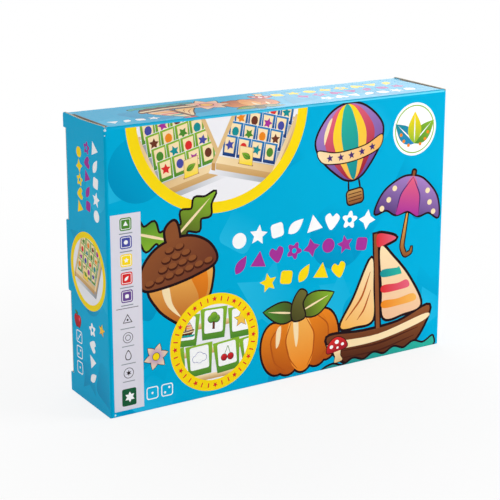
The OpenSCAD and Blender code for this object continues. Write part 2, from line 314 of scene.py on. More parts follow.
def pumpkin():
    lobes = [fill(disc(x, -0.12, rx, ry, 32), *blend) for x, rx, ry, blend in (
        (-0.62, 0.34, 0.56, ("rust", "orange", 80)), (0.62, 0.34, 0.56, ("rust", "orange", 100)),
        (-0.36, 0.38, 0.63, ("rust", "orange", 70)), (0.36, 0.38, 0.63, ("rust", "orange", 110)),
        (0, 0.34, 0.66, ("orange", "amber", 90)))]
    rims = [[(0.36, 0.46), (0.74, 0.1), (0.68, -0.42), (0.4, -0.68)],
            [(0.16, 0.42), (0.37, 0.0), (0.3, -0.44), (0.12, -0.7)]]
    rims = [stroke(np.array(rim) * [side, 1], 0.035) for rim in rims for side in (-1, 1)]
    shines = [soft((-0.14, 0.32), (-0.02, 0.38), (-0.04, 0.0), (-0.12, -0.2)),
              soft((-0.56, 0.26), (-0.44, 0.34), (-0.5, 0.02), (-0.6, -0.1))]
    stem = soft((-0.14, 0.4), (-0.12, 0.74), (0.08, 1.0), (0.24, 0.9), (0.12, 0.7), (0.15, 0.4))
    leaves = [fill(blade(0.02, 0.52, 0.92, 0.5, 14, 12), "moss", "green", 10),
              fill(blade(-0.02, 0.52, 0.84, 0.44, 164, 12), "leaf", "moss", 0)]
    veins = [blade(0.08, 0.54, 0.74, 0.045, 14, 6), blade(-0.08, 0.54, 0.68, 0.045, 164, 6)]
    curl = stroke([(0.2, 0.6), (0.5, 0.84), (0.74, 0.78), (0.7, 0.62), (0.6, 0.7)], 0.05)
    return (inked(lobes, 0.05) + fills(rims, "rust") + fills(shines, "cream") + [fill(curl, "moss")]
            + inked(leaves, 0.035) + fills(veins, "cream") + inked([fill(stem, "moss", "olive", 60)], 0.035))


def balloon():
    edge = ((0, 1.0), (0.55, 0.86), (1, 0.42), (0.86, 0.0), (0.42, -0.4), (0.14, -0.54))
    blends = (("purple", "lilac"), ("wine", "rose"), ("amber", "yellow"), ("teal", "mint"))
    gores = [fill(evenly(*[(x * wide, y) for x, y in edge]), *blend, 110)
             for wide, blend in zip((0.8, 0.6, 0.4, 0.2), blends)]
    band = soft((-0.78, 0.2), (-0.4, 0.08), (0, 0.05), (0.4, 0.08), (0.78, 0.2), (0.7, -0.04), (0.36, -0.14),
                (0, -0.17), (-0.36, -0.14), (-0.7, -0.04))
    studs = [star(x, -0.05 + 0.2 * x * x, 0.085) for x in (-0.52, -0.26, 0, 0.26, 0.52)]
    shine = soft((-0.48, 0.72), (-0.38, 0.78), (-0.56, 0.4), (-0.62, 0.3), (-0.6, 0.5))
    ropes = [stroke([(side * 0.12, -0.52), (side * 0.15, -0.82)], 0.045) for side in (-1, 1)]
    basket = [fill(bar(0, -0.92, 0.38, 0.28, 0.07), "cocoa", "honey", 90)]
    weave = [bar(0, -0.85 - 0.07 * k, 0.33, 0.018) for k in range(3)]
    return (fills(ropes, "dark") + inked(gores[:1], 0.045) + gores[1:]
            + inked([fill(band, "cream", "amber", 0)], 0.025) + fills(studs, "violet")
            + [fill(shine, "cream")] + inked(basket, 0.035) + fills(weave, "umber"))


def umbrella():
    canopy = soft((-0.96, 0.0), (-0.8, 0.5), (-0.36, 0.86), (0, 0.94), (0.36, 0.86), (0.8, 0.5), (0.96, 0.0),
                  (0.64, 0.1), (0.34, 0.0), (0, 0.1), (-0.34, 0.0), (-0.64, 0.1))
    panel = soft((-0.34, 0.0), (-0.26, 0.5), (0, 0.94), (0.26, 0.5), (0.34, 0.0), (0, 0.1))
    ribs = [stroke([(0, 0.92), (0.3 * side, 0.5), (0.34 * side, 0.04)], 0.035) for side in (-1, 1)]
    spots = [disc(x * side, y, 0.07, n=12) for side in (-1, 1) for x, y in (
        (0.62, 0.34), (0.5, 0.62), (0.78, 0.12))]
    handle = stroke([(0, 0.2), (0, -0.3), (0, -0.78), (0.14, -0.98), (0.3, -0.9), (0.3, -0.76)], 0.1)
    return (inked([fill(handle, "cocoa", "amber", 90)], 0.035)
            + inked([fill(bar(0, 0.98, 0.07, 0.2, 0.03), "cocoa"), fill(canopy, "violet", "lilac", 80)], 0.05)
            + [fill(panel, "magenta", "rose", 90)] + fills(ribs, "violet") + fills(spots, "cream"))


def flower(petals=6, petalInk="rose", eyeInk="yellow"):
    turn = 360 / petals
    leaves = [fill(blade(0, 0, 0.95, 0.55, turn * i + 12, 8), petalInk, "cream", turn * i + 12)
              for i in range(petals)]
    return inked(leaves, 0.05) + inked([fill(disc(0, 0, 0.26, n=18), eyeInk)], 0.04)


def mushroom():
    cap = soft((-0.86, 0.0), (-0.7, 0.5), (-0.2, 0.86), (0.3, 0.84), (0.74, 0.48), (0.88, 0.0), (0.4, -0.12),
               (-0.4, -0.12))
    stalk = evenly((0.26, -0.1), (0.22, -0.5), (0.34, -0.86), (0, -0.94))
    spots = [disc(x, y, r, r * 0.85, 14) for x, y, r in (
        (-0.42, 0.32, 0.15), (0.06, 0.55, 0.17), (0.5, 0.26, 0.13), (0.06, 0.12, 0.1))]
    body = [fill(stalk, "tan", "cream", 90), fill(cap, "wine", "red", 100)]
    return inked(body, 0.05) + fills(spots, "white")


def leafy():
    return (inked([fill(blade(-0.8, -0.5, 1.9, 0.95, 32, 12), "leaf", "green", 60)], 0.05)
            + [fill(blade(-0.7, -0.44, 1.6, 0.09, 32, 6), "pine")])


def apple():
    body = evenly((0, 0.42), (0.4, 0.56), (0.76, 0.25), (0.68, -0.35), (0.32, -0.8), (0, -0.72))
    return (inked([fill(body, "wine", "red", 110), fill(bar(0, 0.62, 0.1, 0.4), "brown")], 0.05)
            + inked([fill(blade(0.03, 0.66, 0.62, 0.3, 24, 8), "leaf")], 0.035)
            + [fill(disc(-0.38, 0.12, 0.12, 0.2, 12), "rose")])


def house():
    walls, roof = bar(0, -0.35, 1.3, 0.9), [[-0.85, 0.08], [0.85, 0.08], [0, 0.86]]
    return (inked([fill(walls, "peach", "cream"), fill(roof, "red", "wine", 0)], 0.05)
            + [fill(bar(0.2, -0.52, 0.32, 0.56), "brown"), fill(bar(-0.32, -0.3, 0.3, 0.3), "blue")])


def starry():
    return inked([fill(star(0, 0, 0.95), "amber", "yellow")], 0.06)


def cloudy():
    puffs = ((-0.5, -0.1, 0.38), (0, 0.12, 0.5), (0.5, -0.08, 0.4), (0, -0.22, 0.4))
    return inked(fills([disc(x, y, r, n=18) for x, y, r in puffs], "white"), 0.05, "indigo")


def tree():
    crown = [disc(x, y, r, n=18) for x, y, r in ((-0.32, 0.25, 0.42), (0.34, 0.22, 0.42), (0, 0.55, 0.44))]
    return inked([fill(bar(0, -0.52, 0.24, 0.8), "brown")] + fills(crown, "leaf", "green", 110), 0.05)


def car():
    body, cabin = bar(0, -0.18, 1.8, 0.48, 0.16), soft((-0.62, 0.02), (-0.4, 0.46), (0.3, 0.46), (0.6, 0.02))
    wheels = fills([disc(x, -0.42, 0.2, n=16) for x in (-0.5, 0.5)], "grey")
    return inked([fill(cabin, "ghost"), fill(body, "navy", "indigo")], 0.05) + inked(wheels, 0.07)


def sunny():
    rays = [fill(star(0, 0, 0.98, 10, 0.66), "orange")]
    return inked(rays, 0.04) + [fill(disc(0, 0, 0.52, n=24), "yellow")]


def moon():
    crescent = soft((0.3, 0.9), (-0.5, 0.7), (-0.8, 0), (-0.5, -0.7), (0.3, -0.9), (-0.1, -0.4), (-0.2, 0),
                    (-0.1, 0.4))
    return inked([fill(crescent, "amber", "yellow")], 0.05)


def drop():
    bead = evenly((0, 0.95), (0.4, 0.15), (0.55, -0.35), (0.3, -0.8))
    return inked([fill(bead, "teal", "mint")], 0.05) + [fill(disc(-0.2, -0.35, 0.1, 0.2, 10), "white")]


def cherry():
    stalks = fills([[[x, -0.2], [x + 0.08, -0.2], [0.22, 0.86], [0.14, 0.86]] for x in (-0.45, 0.4)], "leaf")
    fruit = fills([disc(-0.42, -0.42, 0.38, n=20), disc(0.42, -0.48, 0.38, n=20)], "wine", "red", 110)
    return stalks + inked(fruit, 0.05)


motifs = [starry, apple, boat, leafy, mushroom, house, kite, cloudy,
          flower, tree, car, sunny, moon, drop, cherry, balloon]


def aster():
    return flower(6, "lilac", "yellow")


def rosette():
    return flower(7, "rose", "amber")


def rowKinds():
    # eight plain shapes, each about two units wide; the flower's radius swells with a cosine of five turns
    heart = evenly((0, 0.5), (0.45, 0.85), (0.92, 0.45), (0.7, -0.2), (0, -0.95))
    wave = np.linspace(0, 2 * np.pi, 48, endpoint=False)
    bloom = np.stack([np.cos(wave), np.sin(wave)], 1) * (0.8 + 0.2 * np.cos(5 * wave))[:, None]
    triangle = np.array([[-0.98, -0.78], [0.98, -0.78], [0, 0.95]])
    return (disc(0, 0, 0.82, n=32), star(0, 0, 1.1, 5, 0.48), bar(0, 0, 1.5, 1.5, 0.35),
            blade(-0.8, -0.8, 2.3, 1.15, 45, 10), triangle, heart, ring(bloom, disc(0, 0, 0.3, n=16)),
            star(0, 0, 1.1, 4, 0.5))


def shapeRow(x, y, length, height, count, ink, first=0, arch=0.0, tilt=9):
    # plain filled shapes one after another, on a parabola that rises by arch at its middle
    kinds, layers = rowKinds(), []
    for i in range(count):
        u = (i + 0.5) / count
        where = (x + length * u, y + arch * 4 * u * (1 - u), height / 2, tilt * (-1) ** i)
        layers += placed([fill(kinds[(i + first) % 8], ink)], *where)
    return layers


def shapeRows(rows):
    return [layer for row in rows for layer in shapeRow(*row)]


def drawings(places):
    return [layer for motif, *where in places for layer in placed(motif(), *where)]


def raggedLines(left, height, step, length, shorter, thick, count):
    # grey lines one below another, each that much shorter than the last
    lengths = [length - shorter * k for k in range(count)]
    lines = [bar(left + long / 2, height - step * k, long, thick) for k, long in enumerate(lengths)]
    return fills(lines, "grey")


def pictureTile(motif, tileInk, shadeInk):
    # a holder seen from the front: tapered plate, white card, small motif
    plate = grown(np.array([[-0.78, -1], [0.78, -1], [0.95, 1], [-0.95, 1]]), 0.03)
    card = bar(0, 0.14, 1.34, 1.5, 0.12, 3)
    return [fill(plate, shadeInk, tileInk), fill(card, "white"), *placed(motif(), 0, 0.16, 0.56)]


picture = dict(  # the game in a square two units wide, seen from above its front corner
    across=(1.0, 0.2), away=(-0.34, 0.8),  # where its two level directions run on the print
    side=0.94, near=-0.9, far=0.98,
    rail=0.11, railFoot=-0.04, railTop=0.14, frontTop=0.12,
    column=0.4, firstColumn=-0.8, row=0.42, firstRow=-0.5,
    spots=("red", "orange", "indigo", "leaf", "magenta", "teal", "brown"),
)


def slanted(places):
    # an oblique view: the two level shares run along their directions, and the height straight up
    return np.array(places, float) @ np.array([picture["across"], picture["away"], (0, 1)])


def pane(u, v, h):
    # a rectangle of that view: one of its three places is fixed and the other two are spans
    turns = iter(((0, 1, 1, 0), (0, 0, 1, 1)))
    spread = [np.take(span, next(turns)) if np.ndim(span) else np.full(4, span) for span in (u, v, h)]
    return slanted(np.stack(spread, 1))


def leaning(u, v, foot, head, low, high, back):
    # a plate that widens from half width low to high, and leans back
    return slanted([(u - low, v, foot), (u + low, v, foot),
                    (u + high, v + back, head), (u - high, v + back, head)])


def printedGame(tileInk, shadeInk, first):
    # a wooden frame with its cards standing, the far rows first
    p = picture
    layers = [fill(pane((-1.0, 0.98), (-1.0, 0.98), -0.05), "grey", "paper", 20),
              fill(pane((-0.82, 0.82), (0.84, 0.94), 0.1), "tan")]
    for r in (3, 2, 1, 0):
        v = p["firstRow"] + p["row"] * r
        for c in range(4):
            u = p["firstColumn"] + p["column"] * c
            tile = leaning(u + 0.195, v, 0.03, 0.48, 0.185, 0.205, 0.1)
            card = leaning(u + 0.2, v, 0.12, 0.44, 0.13, 0.145, 0.09)
            middle, isRound = card.mean(0), (r + c + first) % 2
            spot = disc(*middle, 0.1, 0.12, 12) if isRound else star(*middle, 0.14, 5, 0.5, 90 + 20 * c)
            layers += [fill(grown(tile, 0.018), "paper"), fill(tile, shadeInk, tileInk), fill(card, "cream"),
                       fill(spot, p["spots"][(3 * r + 2 * c + first) % 7])]
    side, near, far, rail, foot, top, frontTop = (
        p[key] for key in ("side", "near", "far", "rail", "railFoot", "railTop", "frontTop"))
    between, frontNear = (rail - side, side - rail), near + 0.04
    layers += [
        fill(pane(-side, (near, far), (foot, top)), "honey", "tan", 90),
        fill(pane((-side, rail - side), (near, far), top), "tan", "cream", 0),
        fill(pane((side - rail, side), near, (foot, top)), "honey"),
        fill(pane((side - rail, side), (near, far), top), "tan"),
        fill(pane(between, frontNear, (foot, frontTop)), "honey", "tan"),
        fill(pane(between, (frontNear, near + 0.26), frontTop), "tan", "cream", 0),
        fill(pane((-0.22, 0.22), (near + 0.13, near + 0.17), frontTop), "cocoa"),
    ]
    loose = pane((-0.19, 0.19), near + 0.15, (frontTop, 0.56))
    layers += [fill(grown(loose, 0.02), "honey"), fill(loose, "yellow", "cream")]
    return layers + placed(leafy(), *loose.mean(0), 0.15)


def groundShapes(count, seed, low, high, size=(16, 34)):
    # large plain shapes a tone off the ground, placed by a seeded sequence
    rng = np.random.default_rng(seed)
    kinds = (disc(0, 0, 1, n=48), star(0, 0, 1.2, 5, 0.5, 0), bar(0, 0, 1.6, 1.6, 0.3),
             star(0, 0, 1.2, 3, 0.5))
    layers = []
    for i in range(count):
        x, y = rng.uniform(low, high)
        r, turn = rng.uniform(*size), rng.uniform(0, 72)
        line = moved(kinds[i % 4], x, y, r, turn if i % 4 else 0)
        layers.append(fill(line, "mist", "cyan", turn + 30) if i % 3 else fill(line, "sky", "cyan", turn))
    return layers


def pipSquares(x, y, size, count=3):
    # rounded outlines with one, two and three dots, as on dice; all lengths are shares of the size
    pips = ((0, 0),), ((-0.18, -0.18), (0.18, 0.18)), ((-0.22, -0.22), (0, 0), (0.22, 0.22))
    outline = ring(bar(0, 0, 1, 1, 0.2), bar(0, 0, 0.84, 0.84, 0.14))
    layers = []
    for i in range(count):
        dots = [disc(px, py, 0.09, n=14) for px, py in pips[i]]
        layers += placed(fills([outline, *dots], "white"), x + size * 1.25 * i, y, size)
    return layers


medal = dict(
    tiles=((-28, 15), (-1, 17), (26, 14), (-15, -13), (12, -14), (38, -14), (-41, -14)),  # from its middle
    tile=13.5, rail=(90, 5), railDrop=6.5, railStep=23, marks=36, mark=(1.1, 4.4), star=2.6,
)


def medallion(x, y, r, wide):
    # a yellow ring with red marks round a close view of the holders
    inside = disc(x, y, r - wide, n=72)
    railY = [y - medal["railDrop"] - medal["railStep"] * k for k in (-1, 0, 1)]
    near = fills([bar(x, level, *medal["rail"]) for level in railY], "honey", "cream")
    for i, (tx, ty) in enumerate(medal["tiles"]):
        tile = pictureTile(motifs[(7 * i + 2) % 16], "green", "leaf")
        near += placed(tile, x + tx, y + ty, medal["tile"], -4 + 2 * i)
    layers = [fill(disc(x, y, r, n=80), "yellow"), fill(inside, "paper"), *clipped(near, inside)]
    middle, mark = r - wide / 2, bar(0, 0, *medal["mark"], 0.5, 3)
    for i in range(medal["marks"]):
        turn = 360 * i / medal["marks"]
        a = math.radians(turn)
        px, py = x + middle * math.cos(a), y + middle * math.sin(a)
        line = moved(mark, px, py, 1, turn - 90) if i % 3 else star(px, py, medal["star"], 5, 0.45, turn)
        layers.append(fill(line, "red"))
    return layers


def ringWindow(x, y, r, wide, games):
    # a yellow ring round a pale window; each game: its place from the middle, half size, turn, inks, flip
    inside = disc(x, y, r - wide, n=96)
    layers = [fill(disc(x, y, r, n=96), "yellow"), fill(inside, "paper")]
    for gx, gy, size, turn, tileInk, shadeInk, first, flip in games:
        game = placed(printedGame(tileInk, shadeInk, first), x + gx, y + gy, size, turn, flip)
        layers += clipped(game, inside)
    return layers


leafLabel = dict(
    rim=(2.2, 3.2),  # the thin ring's two edges, in from the disc's
    leaf=(29, 15), leafFoot=13, vein=(25, 1.2), veinFoot=12,  # length and width, and foot below the middle
    leaves=((42, "leaf", "green"), (138, "blue", "teal"), (90, "green", "yellow")),  # turn and two inks
    dots=(-165, -140, -115, -65, -40, -15), dotCircle=15.5, dot=1.6,
)


def roundLabel(x, y, r):
    # a white disc with three leaves in a thin ring
    s = leafLabel
    rim = ring(*[disc(x, y, r - edge, n=56) for edge in s["rim"]])
    layers = [fill(disc(x, y, r, n=64), "white"), fill(rim, "green")]
    for turn, ink, to in s["leaves"]:
        layers.append(fill(blade(x, y - s["leafFoot"], *s["leaf"], turn, 14), ink, to, turn))
        layers.append(fill(blade(x, y - s["veinFoot"], *s["vein"], turn, 5), "white"))
    for a in np.radians(s["dots"]):
        px, py = x + s["dotCircle"] * math.cos(a), y + s["dotCircle"] * math.sin(a)
        layers.append(fill(disc(px, py, s["dot"], n=12), "orange"))
    return layers


signStrip = dict(  # how far below the strip's head its rows start, their steps and the parts' sizes
    squares=8.5, squareStep=15, square=10.6, frame=(8.6, 7.6), sign=3.6, squareLine=(7.6, 12, 0.9),
    divider=(78.5, 20, 0.5), symbols=88.5, symbolStep=15.2, symbol=4.6, symbolLine=(7.2, 13, 0.8),
    plate=(13, 15), plateUp=11,  # the plate's middle above the strip's foot
)


def symbolStrip(x, low, high, width):
    # a pale strip: coloured squares above, line symbols below, a dark green plate at its foot
    s = signStrip
    layers = [fill(bar(x, (low + high) / 2, width, high - low), "strip")]
    below, length, thick = s["squareLine"]
    signs = (("leaf", star(0, 0, 0.7, 3, 0.5)), ("indigo", disc(0, 0, 0.5, n=20)),
             ("yellow", star(0, 0, 0.66)), ("red", blade(-0.5, -0.5, 1.4, 0.7, 45)),
             ("purple", bar(0, 0, 0.9, 0.9, 0.25)))
    wide, narrow = s["frame"]
    for i, (ink, sign) in enumerate(signs):
        y = high - s["squares"] - s["squareStep"] * i
        frameLine = ring(bar(x, y, wide, wide, 1.2), bar(x, y, narrow, narrow, 0.9))
        layers += [fill(bar(x, y, s["square"], s["square"], 2), ink), fill(frameLine, "white")]
        layers += placed([fill(sign, "white")], x, y, s["sign"])
        layers.append(fill(bar(x, y - below, length - i % 3, thick), "grey"))
    below, length, thick = s["divider"]
    layers.append(fill(bar(x, high - below, length, thick), "dark"))
    circle = ring(disc(0, 0, 1, n=28), disc(0, 0, 0.89, n=28))
    bead = ring(soft((0, 1), (0.6, 0), (0.4, -0.8), (-0.4, -0.8), (-0.6, 0)),
                soft((0, 0.76), (0.46, 0), (0.3, -0.66), (-0.3, -0.66), (-0.46, 0)))
    symbols = (
        [ring(star(0, 0, 1.1, 3, 0.5), star(0, 0, 0.84, 3, 0.5)), disc(0, 0, 0.2, n=12)],
        [circle, ring(disc(0, 0, 0.55, n=20), disc(0, 0, 0.44, n=20))],
        [bead],
        [circle, star(0, 0, 0.6, 6, 0.4)],
    )
    below, length, thick = s["symbolLine"]
    for i, lines in enumerate(symbols):
        y = high - s["symbols"] - s["symbolStep"] * i
        layers += placed(fills(lines, "dark"), x, y, s["symbol"])
        layers.append(fill(bar(x, y - below, length - 2 * (i % 2), thick), "grey"))
    foot = low + s["plateUp"]
    petals = fills([blade(0.12, 0, 1.0, 0.55, 60 * i + 30, 8) for i in range(6)], "white")
    return layers + [fill(bar(x, foot, *s["plate"], 1.5), "pine")] + placed(petals, x, foot, s["symbol"])


def scuffs(*spots):
    # small chips in the print: an uneven outline of seven points, each as wide as its spot says
    rng = np.random.default_rng(4)
    layers = []
    for x, y, r in spots:
        a = np.linspace(0, 2 * np.pi, 7, endpoint=False)
        reach = r * rng.uniform(0.55, 1.2, 7)
        layers.append(fill(soft(*np.stack([x + reach * np.cos(a), y + reach * np.sin(a)], 1), n=3), "chip"))
    return layers


def creaseGlint(y):
    # a crease of the front catches the light, more to its right
    return fill(bar(0, y, 2 * carton["end"] + 2, 4.2), "cyan", "glint", 0)


# In the layouts a row is x, y, length, height, count, ink, first shape and arch, and a drawing is its
# motif, x, y, half size and turn.
frontPrint = dict(  # from the middle of the front's foot
    ground=dict(count=30, seed=11, low=(-160, 5), high=(160, 235)),
    window=dict(x=-66, y=246, r=86, wide=9.6, games=[
        (-36, -36, 33, 2, "green", "leaf", 0, 1), (34, -33, 33, -4, "blue", "navy", 3, -1)]),
    upper=[(umbrella, 129, 131, 38, -10), (balloon, 66, 195.5, 43.5, 7), (acorn, -104, 110, 47, 12)],
    rows=[(-57, 131.5, 151, 16.6, 8, "white", 0, 6), (-55, 110, 143, 15.8, 8, "magenta", 3, 6),
          (-28, 90, 92, 16, 5, "yellow", 1, 4)],
    lower=[(pumpkin, 14, 37, 42, 5), (boat, 98, 50, 57, 3), (mushroom, 54, 17, 13, 8), (aster, -128, 46, 12)],
    medallion=dict(x=-72, y=48, r=43, wide=9.6),
    pips=dict(x=-132, y=15, size=11, count=2),
    label=dict(x=134.9, y=209.2, r=24),
    strip=dict(x=-153.4, low=5, high=171, width=27),
    chips=[(-166.5, 2.6, 0.9)],
)


def frontLayers():
    plan = frontPrint
    layers = groundShapes(**plan["ground"]) + ringWindow(**plan["window"])
    layers += drawings(plan["upper"]) + shapeRows(plan["rows"]) + drawings(plan["lower"])
    layers += medallion(**plan["medallion"]) + pipSquares(**plan["pips"]) + roundLabel(**plan["label"])
    layers.append(creaseGlint(carton["height"]))
    return layers + symbolStrip(**plan["strip"]) + scuffs(*plan["chips"])


endPrint = dict(
    ground=dict(count=6, seed=5, low=(15, -20), high=(230, 30), size=(12, 24)),
    window=dict(x=-1, y=116, r=33, wide=5, games=[(0, 2, 21, 0, "green", "leaf", 2, 1)]),
    rows=[(160, 20, 68, 12, 5, "white", 0), (166, 5, 60, 11, 5, "magenta", 2),
          (162, -10, 58, 11, 5, "yellow", 4)],
    pips=dict(x=26, y=-20, size=11),
    footRow=(18, 6, 56, 12, 4, "white", 3),
    upright=[(apple, 22, 68, 8), (starry, -24, 72, 6, 10)],
)


def endLayers():
    # along the depth and up. The ground, rows and squares are laid out level, and a quarter turn makes
    # them climb.
    plan = endPrint
    layers = placed(groundShapes(**plan["ground"]), 0, 0, 1, 90) + ringWindow(**plan["window"])
    climbing = shapeRows(plan["rows"]) + pipSquares(**plan["pips"]) + shapeRow(*plan["footRow"])
    return layers + placed(climbing, 0, 0, 1, 90) + drawings(plan["upright"])


topPrint = dict(  # as read from behind, from the middle of the panel
    ground=dict(count=10, seed=8, low=(-150, -depth / 2), high=(150, depth / 2)),
    rows=[(-152, -17, 136, 14, 8, "yellow", 3), (-152, 0, 120, 14, 7, "magenta", 1),
          (-151, 18, 105, 13, 7, "white", 0), (112, 22, 48, 10, 4, "white", 1)],
    drawings=[(pumpkin, 16, 6, 26, -4), (rosette, 52, -8, 21), (boat, 88, 4, 28, 4),
              (mushroom, -8, -20, 12, -20)],
)


def topLayers():
    # the ground lies on the flat sheet, and what is read is turned round
    middle = topStart + depth / 2
    page = shapeRows(topPrint["rows"]) + drawings(topPrint["drawings"])
    layers = placed(groundShapes(**topPrint["ground"]), 0, middle, 1)
    return layers + [creaseGlint(topStart)] + placed(page, 0, middle, 1, 180)


backPrint = dict(  # as read from behind, from the middle of the back's foot
    ground=dict(count=18, seed=21, low=(-160, 8), high=(160, 236)),
    page=(0, 127, 308, 196, 9),
    frames=((154, 88, 114, 5), (154, 84, 110, 4)), game=(160, 37),  # heights of the middles, then sizes
    upperRow=(109, 74, 9, 7), lowerRow=(54, 74, 10, 7),  # height, length, shapes' size and their count
    lines=dict(height=88, step=6, length=74, shorter=8, thick=1.6, count=4),
    steps=[  # middle, inks of its frame, of the game's two tones, and of its upper and lower row
        (98, "yellow", "green", "leaf", "red", "magenta"), (0, "magenta", "blue", "navy", "indigo", "orange"),
        (-98, "green", "green", "leaf", "teal", "teal")],
    foot=[(apple, 146, 16, 9), (car, -146, 16, 9)]
    + [(motifs[(5 * i + 3) % 16], 112 - 28 * i, 15, 8) for i in range(9)],
)


def backLayers():
    # the back stands upside down on the flat sheet, so all but its ground is turned round
    plan, text = backPrint, backPrint["lines"]
    left = -text["length"] / 2
    outer, inner = plan["frames"]
    page = [fill(bar(*plan["page"]), "paper")]
    for i, (x, frameInk, tileInk, shadeInk, upperInk, lowerInk) in enumerate(plan["steps"]):
        page += [fill(bar(x, *outer), frameInk), fill(bar(x, *inner), "white")]
        page += placed(printedGame(tileInk, shadeInk, 4 * i), x, *plan["game"])
        page += shapeRow(x + left, *plan["upperRow"], upperInk, i)
        page += raggedLines(x + left, **text)
        page += shapeRow(x + left, *plan["lowerRow"], lowerInk, i + 2)
    page += drawings(plan["foot"])
    layers = placed(groundShapes(**plan["ground"]), 0, backStart, 1)
    return layers + placed(page, 0, backStart + carton["height"], 1, 180)


def bottomLayers():
    # along the flat sheet, and up it from the bottom's free edge
    rows = ((0.35, 2), (0.7, 5))
    return shapeRows([(-130, depth * share, 260, 10, 22, "mist", first) for share, first in rows])


def insideOf(line, p):
    # even-odd rule: counts the outline's edges that lie to the right of each point
    a, b = line, np.roll(line, -1, 0)
    hit = np.zeros(len(p), bool)
    near = ((p >= a.min(0)) & (p <= a.max(0))).all(1)
    q = p[near]
    spans = (a[:, 1] > q[:, 1:]) != (b[:, 1] > q[:, 1:])
    rise = np.where(b[:, 1] == a[:, 1], 1.0, b[:, 1] - a[:, 1])
    cross = a[:, 0] + (q[:, 1:] - a[:, 1]) * (b[:, 0] - a[:, 0]) / rise
    hit[near] = (spans & (q[:, :1] < cross)).sum(1) % 2 == 1
    return hit


def triangulated(outline, curves, lines, spacing):
    # Delaunay triangles of the sheet that keep each print curve and fold line as edges
    points, edges, count = [], [], 0
    for loop in (outline, *curves):
        numbers = np.arange(count, count + len(loop))
        edges.append(np.stack([numbers, np.roll(numbers, -1)], 1))
        points.append(loop)
        count += len(loop)
    if len(lines):
        ends = np.array(lines, float).reshape(-1, 2)
        edges.append(count + np.arange(len(ends)).reshape(-1, 2))
        points.append(ends)
    lo, hi = outline.min(0), outline.max(0)
    gx, gy = (np.linspace(a, b, max(2, round((b - a) / spacing) + 1))[1:-1] for a, b in zip(lo, hi))
    points.append(np.stack(np.meshgrid(gx, gy), -1).reshape(-1, 2))
    places = [Vector(p) for p in np.concatenate(points).tolist()]
    out = geometry.delaunay_2d_cdt(places, np.concatenate(edges).tolist(), [], 0, 1e-3)
    flat, tris = np.array([v[:] for v in out[0]]), np.array(out[2])
    return flat, tris[insideOf(outline, flat[tris].mean(1))]


def painted(flat, tris, layers, ground):
    # the topmost layer over each triangle's middle, and its blend of two inks at each corner
    corners, middle = flat[tris], flat[tris].mean(1)
    colour = np.tile(inkColour[ground], (len(tris), 3, 1))
    for layer in layers:
        over = insideOf(layer["line"], middle)
        for window in layer["windows"]:
            over &= insideOf(window, middle)
        start, step = layer["axis"][0], layer["axis"][1] - layer["axis"][0]
        share = np.clip((corners[over] - start) @ step / max(step @ step, 1e-9), 0, 1)[..., None]
        colour[over] = inkColour[layer["ink"]] * (1 - share) + inkColour[layer["to"]] * share
    return colour


def cutEdges(tris):
    # edges that only one triangle uses, in that triangle's own order
    edges = np.concatenate([tris[:, [0, 1]], tris[:, [1, 2]], tris[:, [2, 0]]])
    key = np.sort(edges, 1) @ [1 << 32, 1]
    _, first, count = np.unique(key, return_index=True, return_counts=True)
    return edges[first[count == 1]]


def facing(flat, tris, here, there):
    # turns all triangles over if together they look towards the board's other side
    a, b, c = here(flat)[tris].transpose(1, 0, 2)
    middle = flat[tris].mean(1)
    away = here(middle) - there(middle)
    return tris[:, ::-1] if (np.cross(b - a, c - a) * away).sum() < 0 else tris


flutes = dict(pitch=3.4, liner=0.16, medium=0.1)  # fine-flute wave, and its papers' share of the board


def boardSheet(outline, lines, layers, ground, outer, inner, spacing=11):
    # a sheet of board as points and face sets: printed face, inner face, and the cut edges between them.
    # On a cut edge, U is x plus y of the flat place in flute pitches and V is 0 to 1 through the board.
    flat, tris = triangulated(outline, [layer["line"] for layer in layers], lines, spacing)
    backLines = [*lines, *flat[cutEdges(tris)].tolist()]
    backFlat, backTris = triangulated(outline, [], backLines, spacing * 2)
    tris, backTris = facing(flat, tris, outer, inner), facing(backFlat, backTris, inner, outer)
    edge = cutEdges(tris)
    twin = np.abs(flat[edge][:, :, None] - backFlat).sum(3).argmin(2)  # the inner face's points under them
    rim = np.column_stack([edge[:, ::-1], twin + len(flat)])
    run = flat[edge].sum(2) / flutes["pitch"]
    rimUv = np.stack([run[:, [1, 0, 0, 1]], np.tile([0.0, 0, 1, 1], (len(rim), 1))], 2)
    faceSets = [
        (tris, 0, painted(flat, tris, layers, ground), flat[tris] * mm),
        (backTris + len(flat), 1, np.ones((*backTris.shape, 3)), backFlat[backTris] * mm),
        (rim, 2, np.ones((*rim.shape, 3)), rimUv),
    ]
    return np.concatenate([outer(flat), inner(backFlat)]), faceSets


def together(sheets):
    # several sheets as one: the second's numbers follow the first's
    points, faceSets, count = [], [], 0
    for sheetPoints, sheetSets in sheets:
        faceSets += [(faces + count, *rest) for faces, *rest in sheetSets]
        points.append(sheetPoints)
        count += len(sheetPoints)
    return np.concatenate(points), faceSets


def setAll(target, key, values, kind=np.float32):
    target.foreach_set(key, np.asarray(values).astype(kind).ravel())


